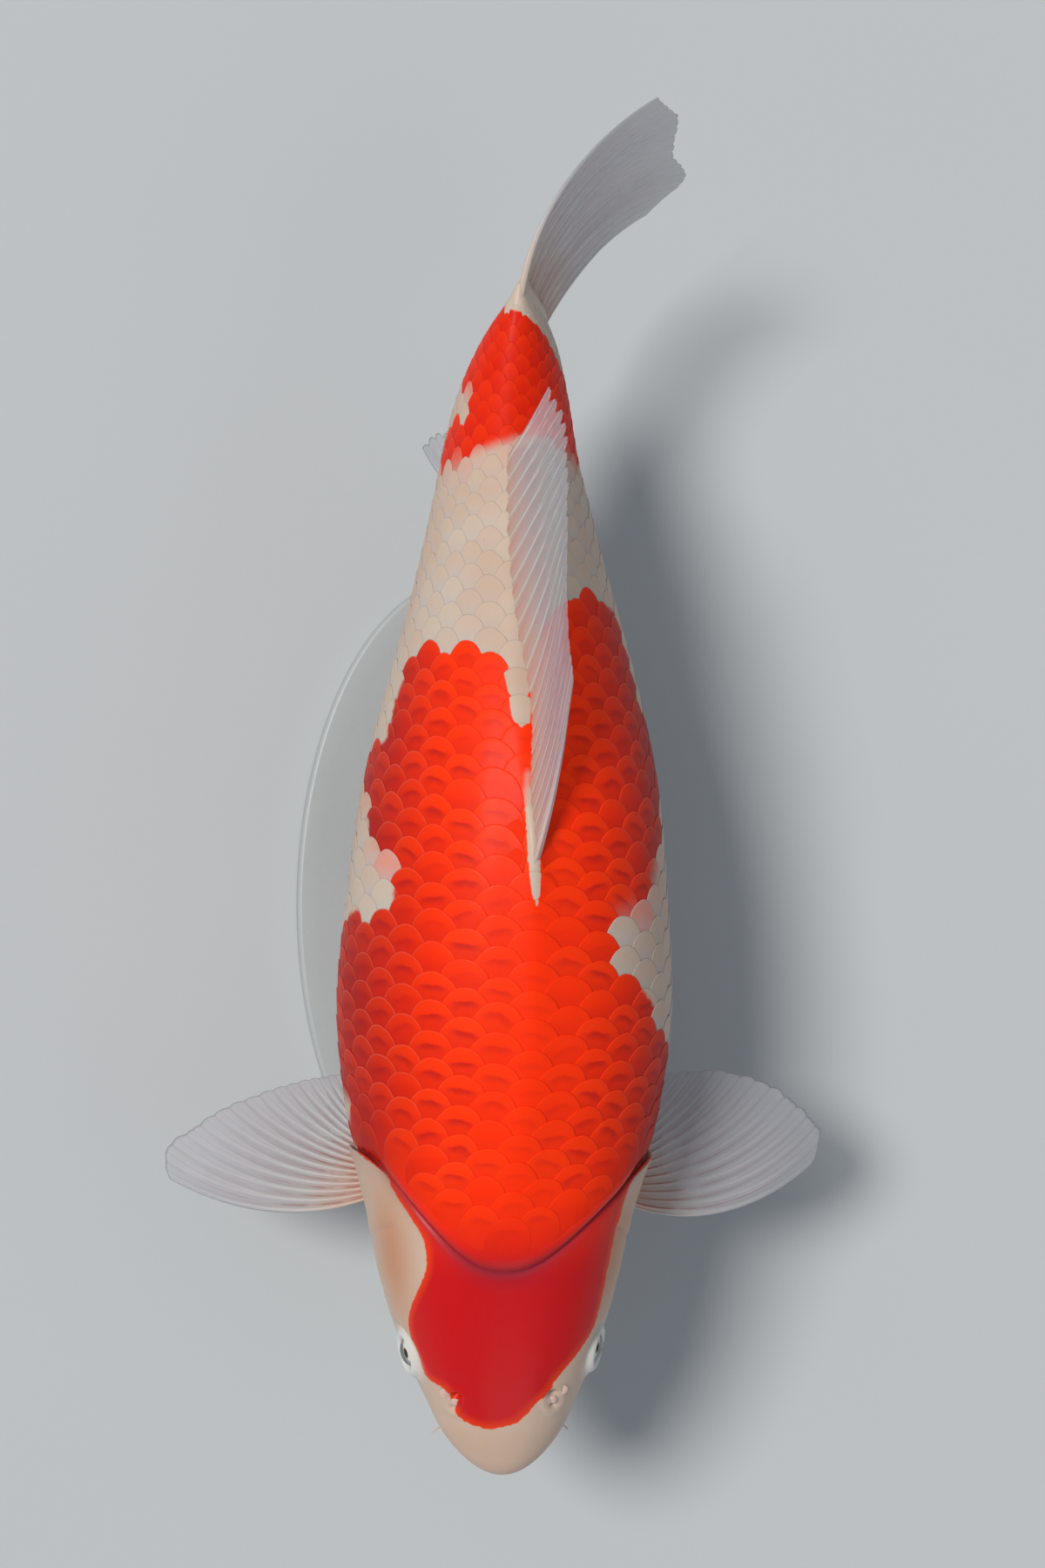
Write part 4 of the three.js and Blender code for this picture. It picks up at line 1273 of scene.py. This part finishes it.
def build_eyes(colours):
    """Each eye is a ball with a flatter front round the pit of the pupil, under a clear dome."""
    iris, cornea = iris_material(colours), cornea_material()
    sweep = np.linspace(math.pi, math.acos(0.70), 22)[:, None]
    shell = EYEBALL["radius"] * np.concatenate([np.sin(sweep), np.cos(sweep)], 1)
    ball = np.concatenate([shell, EYEBALL["front"]])
    sweep = np.linspace(math.pi, 0, 40)[:, None]
    dome = CORNEA["radius"] * np.concatenate([np.sin(sweep), np.cos(sweep)], 1)
    lens = np.concatenate([dome[dome[:, 1] > CORNEA["from"]][::-1], CORNEA["back"]])
    for name, sign in SIDES.items():
        points, quads, triangles, radii = turned(ball, *eye_place(sign), 64)
        piece = make_piece(f"eyeball_{name}", points, quads, triangles, {"ring": radii / EYEBALL["ring"]})
        finish_piece(piece, iris, "eye", f"eye_{name}")
        piece = make_piece(f"cornea_{name}", *turned(lens, *eye_place(sign), 48)[:3])
        finish_piece(piece, cornea, "eye")


# Where a feeler leaves the skin, how far out it bends, its tip beside the spine, and its radius.
FEELERS = {
    "front": {"at": 14, "turn": 122, "out": 7, "tip": (11, 23.5, -23), "radius": 1.1},
    "corner": {"at": 25, "turn": 137, "out": 10, "tip": (16, 35, -24), "radius": 1.5},
}


def build_feelers(colours):
    material = feeler_material(colours)
    t = np.linspace(0, 1, 34)[:, None]
    for place, f in FEELERS.items():
        station, side, up = f["tip"]
        radii = mix(f["radius"], 0.32, t.ravel() ** 0.7)
        radii[-4:] *= np.array([0.97, 0.88, 0.65, 0.3])  # the tip is rounded off
        for name, sign in SIDES.items():
            buried, bare = (skin_at(f["at"], sign * math.radians(f["turn"]), grow) for grow in (-4, 0))
            bent = buried + f["out"] * (bare - buried) / np.linalg.norm(bare - buried)
            tip = beside(station, sign * side, up)
            centres = (1 - t) ** 2 * buried + 2 * t * (1 - t) * bent + t * t * tip
            piece = make_piece(f"feeler_{place}_{name}", *tube(centres, radii))
            finish_piece(piece, material, "lip", f"barbel_{place}_{name}")


# ---- Fins ----------------------------------------------------------------------------------------
# Rays by the length, angle and bend of a few of them; root is a span of stations.
PECTORAL_LEFT = {
    "root": (138, 163), "turn": (119, 124), "inset": 7, "droop": 10, "pitch": 8, "cup": 4,
    "lengths": (124, 108, 84, 60, 38), "angles": (-33, -14, 8, 26, 44), "bends": (78, 60, 42, 28, 16),
}
PECTORAL_RIGHT = {
    "root": (138, 163), "turn": (119, 124), "inset": 7, "droop": 8, "pitch": 20, "cup": 4,
    "lengths": (116, 94, 69, 50, 37), "angles": (-27, -10, 8, 28, 48), "bends": (62, 50, 39, 30, 20),
}
PELVIC = {
    "root": (286, 306), "turn": (154, 160), "inset": 6, "droop": 42, "pitch": 6, "cup": 3,
    "lengths": (80, 79, 73, 63, 50), "angles": (58, 65, 73, 81, 88), "bends": (14, 8, 4, 0, 0),
}
DORSAL = {
    "root": (283, 497), "inset": 7, "below": False,
    "lengths": (119, 98, 92, 83, 76, 68, 53), "angles": (24.4, 30.4, 30.6, 32.5, 35, 37, 42),
    "bends": (-10, -10, -10, -10, -10, -8, -8), "leans": (37, 35, 40, 47, 52, 52, 40),
    "tucked": (1.2, 0.7, -0.2, 0.55, 0.9, 1),
}
ANAL = {
    "root": (450, 490), "inset": 7, "below": True,
    "lengths": (94, 86, 73, 60, 48), "angles": (44, 42, 41, 40, 40),
    "bends": (-10, -10, -10, -8, -6), "leans": (-58, -58, -56, -54, -52), "tucked": (1, 1),
}
TAIL = {
    "root": 570, "top": 34, "bottom": -32.5,
    "lengths": (121, 131, 130, 140, 115), "angles": (11, 4, -3, -7, -12), "bends": (-4, 0, 0, 0, 4),
}

# How a fin is made where its own style doesn't say otherwise. Columns of points for each ray and rows;
# how much longer the rays are than planned, how uneven, and how rounded the first corner is; thickness
# and width of a ray, and how much more the leading one has of each; thickness added at the root; where
# the pleats swell, their height, and the height of the long waves; strength of the veins and of the
# pink, and how far the pink reaches.
FIN_STYLE = {
    "per_ray": 12, "steps": 64, "longer": 0.0, "ragged": 0.008, "round": 0.0, "ray": 1.9, "wide": 1,
    "lead": 0.6, "lead_wide": 0.6, "lobe": 0, "inner": 0.8, "pleat": 0.5, "wave": 0.0, "veins": 0.5,
    "blush": 0.1, "blush_reach": 0.4,
}


def ray_point(f, u, v):
    """A point at share u of the ray at share v, in the fin's plane: how far along the direction that
    angles count from, and how far aside of it."""
    length, angle, bend = (spread(f[key], v) for key in ("lengths", "angles", "bends"))
    chord = np.radians(angle + bend * u / 2)
    return length * u * np.cos(chord), length * u * np.sin(chord)


def paired_sheet(f, sign):
    """A fin's middle surface by shares u and v, for a fin of a pair."""
    droop, pitch = math.radians(f["droop"]), math.radians(f["pitch"])
    out = np.array((sign * math.cos(droop), 0, -math.sin(droop)))
    aft = np.array((0, math.cos(pitch), -math.sin(pitch)))
    up = np.cross(out, aft) * sign

    def sheet(u, v):
        root = skin_at(mix(*f["root"], v), sign * np.radians(mix(*f["turn"], v)), -f["inset"])
        a, b = ray_point(f, u, v)
        cup = f["cup"] * np.sin(math.pi * np.clip(v, 0, 1)) * u * u
        return root + a[..., None] * out + b[..., None] * aft + cup[..., None] * up

    return sheet


def middle_sheet(f):
    """The same for a fin of the back or belly."""

    def sheet(u, v):
        station = mix(*f["root"], v)
        _, back, belly, _, _, _ = section_at(station)
        foot = -belly + f["inset"] if f["below"] else back - f["inset"]
        a, b = ray_point(f, u, v)
        lean = np.radians(spread(f["leans"], v))
        rise = -b if f["below"] else b
        rooted = f["inset"] * np.tan(lean) * (1 - u) * spread(f["tucked"], v)
        return beside(station + a, b * np.sin(lean) - rooted, foot + rise * np.cos(lean))

    return sheet


def tail_sheet(f):
    """The same for the tail fin."""

    def sheet(u, v):
        a, b = ray_point(f, u, v)
        return beside(f["root"] + a, 0, mix(f["top"], f["bottom"], v) + b)

    return sheet


def thin_solid(rows, columns):
    """A thin closed solid over a grid: its faces, the spots of their corners on the map, and the points
    in use. The points are those of the top, then those of the underside, which meet at three edges. The
    first row is closed by a strip."""
    size, n = rows * columns, columns - 1
    top = np.arange(size).reshape(rows, columns)
    under = top + size
    under[-1], under[:, 0], under[:, -1] = top[-1], top[:, 0], top[:, -1]
    quads_top = grid_quads(rows, columns)
    k = np.arange(1, n - 1)
    strip = np.stack([k, under[0, k], under[0, k + 1], k + 1], 1)
    quads = np.concatenate([quads_top, under.ravel()[quads_top][:, ::-1], strip])
    ends = np.array([(0, under[0, 1], 1), (n - 1, under[0, n - 1], n)])
    along = np.repeat(np.linspace(0, 1, rows), columns)
    aside = np.tile(np.linspace(0, 1, columns), rows)
    left = np.stack([0.02 + 0.45 * along, 0.02 + 0.96 * aside], 1)
    right = left + (0.5, 0)
    tucked = left - (0.008, 0)
    strip_spots = np.stack([left[k], tucked[k], tucked[k + 1], left[k + 1]], 1)
    end_spots = np.stack([left[[0, n - 1]], tucked[[1, n - 1]], left[[1, n]]], 1)
    places = [left[quads_top], right[quads_top[:, ::-1]], strip_spots, end_spots]
    used = np.unique(quads)
    number = np.full(2 * size, -1)
    number[used] = np.arange(len(used))
    return number[quads], number[ends], np.concatenate([spots.reshape(-1, 2) for spots in places]), used


def build_fin(name, sheet, material, nodes, rays, style):
    """A fin with its rays as ridges that fork towards the rim, and skin between them. u is the share of
    a ray's length and v the share of the fin's width."""
    style = FIN_STYLE | style
    rng = np.random.default_rng(style["seed"])
    per_ray, rows = style["per_ray"], style["steps"]
    columns = int((rays - 0.5) * per_ray) + 1
    q = np.linspace(-0.25, rays - 0.75, columns)
    v = (q + 0.25) / (rays - 0.5)
    nearest = np.clip(np.round(q), 0, rays - 1).astype(int)
    phase = q - nearest  # from the nearest ray, in spaces between rays
    notch = np.interp(v, np.linspace(0, 1, len(style["notches"])), style["notches"])
    ray_reach = 1 + style["longer"] - np.abs(rng.normal(0, style["ragged"], rays))
    reach = np.interp(q, np.arange(rays), ray_reach) - notch * np.clip(2 * np.abs(phase), 0, 1) ** 1.6
    reach = reach - 0.25 * notch * bump(phase, 0.07)
    reach = reach - style["round"] * np.clip(1 - v / 0.12, 0, 1) ** 2
    u = (np.linspace(0, 1, rows) ** 0.92)[:, None] * reach
    middle = sheet(u, np.broadcast_to(v, u.shape))
    along, around = np.gradient(middle, axis=0), np.gradient(middle, axis=1)
    normals = np.cross(around, along)
    normals /= np.maximum(np.linalg.norm(normals, axis=-1, keepdims=True), 1e-9)
    gap = np.linalg.norm(around, axis=-1) * per_ray
    leading = (nearest == 0) * 1.0
    # Each ray but the leading one forks twice.
    off = np.abs(np.abs(phase) - ease((u - 0.34) / 0.6) * 0.22 * (1 - leading))
    off = np.abs(off - ease((u - 0.66) / 0.34) * 0.09 * (1 - leading))
    more = leading * (1 - 0.7 * ease(u))
    ray_wide = mix(1.1, 0.38, ease(u)) * style["wide"] * (1 + style["lead_wide"] * more)
    ridge = bump(off * gap, ray_wide)
    rib = mix(style["ray"], 0.35, u**0.7) * (1 + style["lead"] * more)
    lobe = style["lobe"] * np.clip(1 - u / 0.2, 0, 1) ** 2
    thick = mix(0.55, 0.26, u) + rib * ridge + lobe
    thick[-1], thick[:, 0], thick[:, -1] = 0, 0, 0
    swelling = np.sin(math.pi * np.clip(u, 0, 1) ** style["inner"])
    pleat = style["pleat"] * np.cos(2 * math.pi * phase) * swelling
    wave = style["wave"] * np.sin(2 * math.pi * (3.2 * v + 0.1)) * swelling
    middle = middle + (pleat + wave)[..., None] * normals
    half = (thick / 2)[..., None] * normals
    points = np.concatenate([(middle + half).reshape(-1, 3), (middle - half).reshape(-1, 3)])
    between = bump((0.5 - np.abs(phase)) * gap, 0.42) + 0.3 * bump(off * gap - ray_wide * 1.5, 0.35)
    fade = np.interp(u, (0, 0.1, 0.3, 0.6, 0.9), (0.2, 1.0, 0.9, 0.55, 0.25))
    vein = style["veins"] * between * fade * mix(0.6, 1.0, rng.uniform(0, 1, rays)[nearest])
    blush = style["blush"] * np.clip(1 - u / style["blush_reach"], 0, 1)
    blush = blush * (1 + 0.6 * np.cos(2 * math.pi * (phase - 0.5)))
    values = {
        "ray": np.clip(ridge * 1.2, 0, 1) * mix(1, 0.5, u), "along": u, "vein": np.clip(vein, 0, 1),
        "blush": np.clip(blush, 0, 1), "veil": np.interp(u, (0, 0.15, 0.5, 1), style["veil"]),
    }
    quads, ends, places, used = thin_solid(rows, columns)
    facts = {key: np.tile(value.ravel(), 2)[used] for key, value in values.items()}
    piece = make_piece(name, points[used], quads, ends, facts, places)
    finish_piece(piece, material, "fin", *nodes)


def build_paired_fins(material):
    pectoral = {
        "notches": (0.006, 0.01, 0.012, 0.016, 0.016), "veins": 1.0, "blush": 0.32, "lobe": 5,
        "inner": 0.5, "lead": 0.9, "ray": 1.5, "wide": 1.5, "pleat": 0.8, "steps": 76, "longer": 0.07,
        "round": 0.1, "veil": (1.0, 0.97, 0.72, 0.46),
    }
    pelvic = {
        "notches": (0.01, 0.03, 0.04), "blush": 0.2, "lobe": 3, "steps": 56,
        "veil": (1.0, 0.97, 0.88, 0.7), "round": 0.05,
    }
    for name, sign in SIDES.items():
        front = paired_sheet(PECTORAL_LEFT if sign > 0 else PECTORAL_RIGHT, sign)
        rear = paired_sheet(PELVIC, sign)
        style = pectoral | {"seed": 3 + sign}
        build_fin(f"pectoral_{name}", front, material, [f"pectoral_fin_{name}"], 16, style)
        style = pelvic | {"seed": 8 + sign}
        build_fin(f"pelvic_{name}", rear, material, [f"pelvic_fin_{name}"], 9, style)


def build_middle_fins(material):
    dorsal = {
        "notches": (0.012, 0.015, 0.02, 0.03, 0.05, 0.1), "veins": 0.1, "blush": 0.55,
        "blush_reach": 0.75, "lead": 1.8, "lead_wide": 3.2, "lobe": 10, "ray": 1.6, "pleat": 0.6,
        "seed": 12, "per_ray": 11, "steps": 60, "ragged": 0.015, "veil": (1.0, 0.74, 0.4, 0.27),
    }
    build_fin("dorsal", middle_sheet(DORSAL), material, ["dorsal_fin"], 21, dorsal)
    anal = {
        "notches": (0.02, 0.04, 0.05), "veins": 0.3, "blush": 0.2, "lead": 1.2, "seed": 15, "steps": 56,
        "veil": (1.0, 0.95, 0.8, 0.65),
    }
    build_fin("anal", middle_sheet(ANAL), material, ["anal_fin"], 8, anal)


def build_tail_fin(material):
    style = {
        "notches": (0.004, 0.006, 0.008, 0.006, 0.004), "veins": 0.9, "blush": 0.05, "lead": 1.0,
        "lead_wide": 0.7, "ray": 1.9, "pleat": 0.4, "wave": 1.8, "seed": 21, "steps": 96, "ragged": 0.006,
        "veil": (1.0, 0.92, 0.68, 0.48), "longer": 0.01,
    }
    nodes = ["tail_fin_upper", "tail_fin_lower"]
    build_fin("tail_fin", tail_sheet(TAIL), material, nodes, 19, style)


# ---- Stand ---------------------------------------------------------------------------------------
BASE = {"length": 360, "width": 190, "thick": 12, "edge": 2.5, "sides": 160}
ROD = {"radius": 5, "sunk": 4, "chamfer": 0.6, "top": AXIS_HEIGHT - 60}
ROD_STATIONS = {"front": 180, "rear": 380}
COLLAR = {"radius": 11, "height": 6, "edge": 1.6, "bore": 5.6}


def build_stand(colours):
    """An oval plate with rounded edges, and two rods up into the belly, each with a collar at its foot."""
    paint, steel = paint_material(colours), steel_material()
    edge, thick = BASE["edge"], BASE["thick"]
    bend = np.linspace(0, math.pi / 2, 7)
    rise = [(edge * (1 - math.sin(b)), edge * (1 - math.cos(b))) for b in bend]
    outline = [(40, 0), (12, 0)] + rise + [(i, thick - z) for i, z in rise[::-1]] + [(12, thick), (40, thick)]
    across_base, along_base = np.array((1.0, 0, 0)), np.array((0, 1.0, 0))
    rings = [
        (0, 0, z) + circle(
            (BASE["width"] / 2 - inset) * across_base, (BASE["length"] / 2 - inset) * along_base,
            BASE["sides"],
        )
        for inset, z in outline
    ]
    piece = make_piece("base_plate", *closed_rings(np.stack(rings), (0, 0, 0), (0, 0, thick)))
    finish_piece(piece, paint, "stand_base", "stand_base")
    radius, top = ROD["radius"], ROD["top"]
    rod = [
        (0, thick - ROD["sunk"]), (radius, thick - ROD["sunk"]), (radius, thick + 10),
        (radius, top - ROD["chamfer"]), (radius - ROD["chamfer"], top), (0, top),
    ]
    outer, edge, high, bore = COLLAR["radius"], COLLAR["edge"], thick + COLLAR["height"], COLLAR["bore"]
    collar = [(0, thick + 0.05), (outer - 0.3, thick + 0.05), (outer, thick + 0.4)]
    for b in np.linspace(math.pi / 2, 0, 6):
        collar.append((outer - edge + edge * math.sin(b), high - edge + edge * math.cos(b)))
    collar += [(bore, high), (bore - 0.4, high - 0.5), (0, high - 0.5)]
    for name, station in ROD_STATIONS.items():
        x, y, _ = spine_at(station)
        foot, up = np.array((x, y, 0.0)), np.array((0.0, 0, 1))
        piece = make_piece(f"rod_{name}", *turned(rod, foot, up, 48)[:3])
        finish_piece(piece, steel, "stand_rod", f"stand_rod_{name}")
        piece = make_piece(f"collar_{name}", *turned(collar, foot, up, 64)[:3])
        finish_piece(piece, steel, "stand_rod", f"stand_collar_{name}")


# ---- Stage ---------------------------------------------------------------------------------------
VIEW = {"aim": (0.0065, 0.066, 0.150), "distance": 1.5, "tilt": math.radians(9), "lens": 68.6}
FLOOR = {"half_size": 60000.0, "lines": 25}
SKY = {"colour": (0.86, 0.92, 1.0, 1), "strength": 0.3}
# The place a lamp shines from, its power, its colour and its width in degrees.
LAMPS = {
    "key": ((-1.0, 0.5, 1.75), 2.8, (1.0, 0.96, 0.9), 17),
    "fill": ((1.3, -0.5, 1.7), 0.16, (0.9, 0.95, 1.0), 40),
    "low_fill": ((0.2, -1.8, 0.7), 0.36, (0.95, 0.97, 1.0), 35),
}


def add_lamp(name, place, power, colour, softness):
    """A distant lamp that shines from a place towards the fish. softness is its width in degrees."""
    light = bpy.data.lights.new(name, "SUN")
    light.energy, light.color, light.angle = power, colour, math.radians(softness)
    lamp = bpy.data.objects.new(name, light)
    lamp.location = place
    aim = Vector(VIEW["aim"]) - Vector(place)
    lamp.rotation_euler = aim.to_track_quat("-Z", "Y").to_euler()
    bpy.context.scene.collection.objects.link(lamp)


def build_stage(colours):
    scene = bpy.context.scene
    line = np.linspace(-FLOOR["half_size"], FLOOR["half_size"], FLOOR["lines"])
    grid_x, grid_y = np.meshgrid(line, line)
    points = np.stack([grid_x.ravel(), grid_y.ravel(), 0 * grid_x.ravel()], 1)
    floor = make_piece("studio_floor", points, grid_quads(FLOOR["lines"], FLOOR["lines"]))
    floor.data.materials.append(floor_material(colours))
    world = bpy.data.worlds.new("soft_sky")
    world.use_nodes = True
    background = world.node_tree.nodes["Background"]
    background.inputs["Color"].default_value = SKY["colour"]
    background.inputs["Strength"].default_value = SKY["strength"]
    scene.world = world
    for name, (place, power, colour, softness) in LAMPS.items():
        add_lamp(name, place, power, colour, softness)
    camera_data = bpy.data.cameras.new("view")
    camera_data.lens = VIEW["lens"]
    camera = bpy.data.objects.new("view", camera_data)
    tilt, up = VIEW["tilt"], Vector((0, 1, 0))
    back = Vector((-math.sin(tilt), 0, math.cos(tilt)))
    facing = Matrix((up.cross(back), up, back)).transposed().to_4x4()
    camera.matrix_world = Matrix.Translation(Vector(VIEW["aim"]) + VIEW["distance"] * back) @ facing
    scene.collection.objects.link(camera)
    scene.camera = camera
    scene.view_settings.view_transform = "Standard"


# ---- Operators -----------------------------------------------------------------------------------
class KOI_OT_skin(bpy.types.Operator):
    """Adds the skin of the head, body and tail root"""

    bl_idname = "koi.skin"
    bl_label = "Skin"

    def execute(self, context):
        build_skin(context.scene.koi_sizes, context.scene.koi_colours)
        return {"FINISHED"}


class KOI_OT_scales(bpy.types.Operator):
    """Adds the scales of the body"""

    bl_idname = "koi.scales"
    bl_label = "Scales"

    def execute(self, context):
        build_scales(context.scene.koi_sizes, context.scene.koi_colours)
        return {"FINISHED"}


class KOI_OT_eyes(bpy.types.Operator):
    """Adds both eyes"""

    bl_idname = "koi.eyes"
    bl_label = "Eyes"

    def execute(self, context):
        build_eyes(context.scene.koi_colours)
        return {"FINISHED"}


class KOI_OT_feelers(bpy.types.Operator):
    """Adds the four feelers at the mouth"""

    bl_idname = "koi.feelers"
    bl_label = "Feelers"

    def execute(self, context):
        build_feelers(context.scene.koi_colours)
        return {"FINISHED"}


class KOI_OT_fins(bpy.types.Operator):
    """Adds the paired fins, the fins of the back and belly and the tail fin"""

    bl_idname = "koi.fins"
    bl_label = "Fins"

    def execute(self, context):
        material = fin_material(context.scene.koi_colours)
        build_paired_fins(material)
        build_middle_fins(material)
        build_tail_fin(material)
        return {"FINISHED"}


class KOI_OT_stand(bpy.types.Operator):
    """Adds the display stand"""

    bl_idname = "koi.stand"
    bl_label = "Stand"

    def execute(self, context):
        build_stand(context.scene.koi_colours)
        return {"FINISHED"}


class KOI_OT_stage(bpy.types.Operator):
    """Adds the floor, the lights and the camera"""

    bl_idname = "koi.stage"
    bl_label = "Stage"

    def execute(self, context):
        build_stage(context.scene.koi_colours)
        return {"FINISHED"}


OPERATORS = (
    KOI_OT_stage, KOI_OT_skin, KOI_OT_scales, KOI_OT_eyes, KOI_OT_feelers, KOI_OT_fins, KOI_OT_stand,
)


class KOI_PT_panel(bpy.types.Panel):
    """Lists the model's settings and parts"""

    bl_idname = "KOI_PT_panel"
    bl_label = "Koi"
    bl_space_type = "VIEW_3D"
    bl_region_type = "UI"
    bl_category = "Koi"

    def draw(self, context):
        for settings in (context.scene.koi_sizes, context.scene.koi_colours):
            for key in settings.__annotations__:
                self.layout.prop(settings, key)
        for operator in OPERATORS:
            self.layout.operator(operator.bl_idname)


CLASSES = (KoiColours, KoiSizes, *OPERATORS, KOI_PT_panel)


def register():
    for item in CLASSES:
        bpy.utils.register_class(item)
    bpy.types.Scene.koi_colours = PointerProperty(type=KoiColours)
    bpy.types.Scene.koi_sizes = PointerProperty(type=KoiSizes)


def unregister():
    del bpy.types.Scene.koi_sizes
    del bpy.types.Scene.koi_colours
    for item in reversed(CLASSES):
        bpy.utils.unregister_class(item)


def main():
    register()
    bpy.ops.koi.stage()
    bpy.ops.koi.skin()
    bpy.ops.koi.scales()
    bpy.ops.koi.eyes()
    bpy.ops.koi.feelers()
    bpy.ops.koi.fins()
    bpy.ops.koi.stand()


if __name__ == "__main__":
    main()
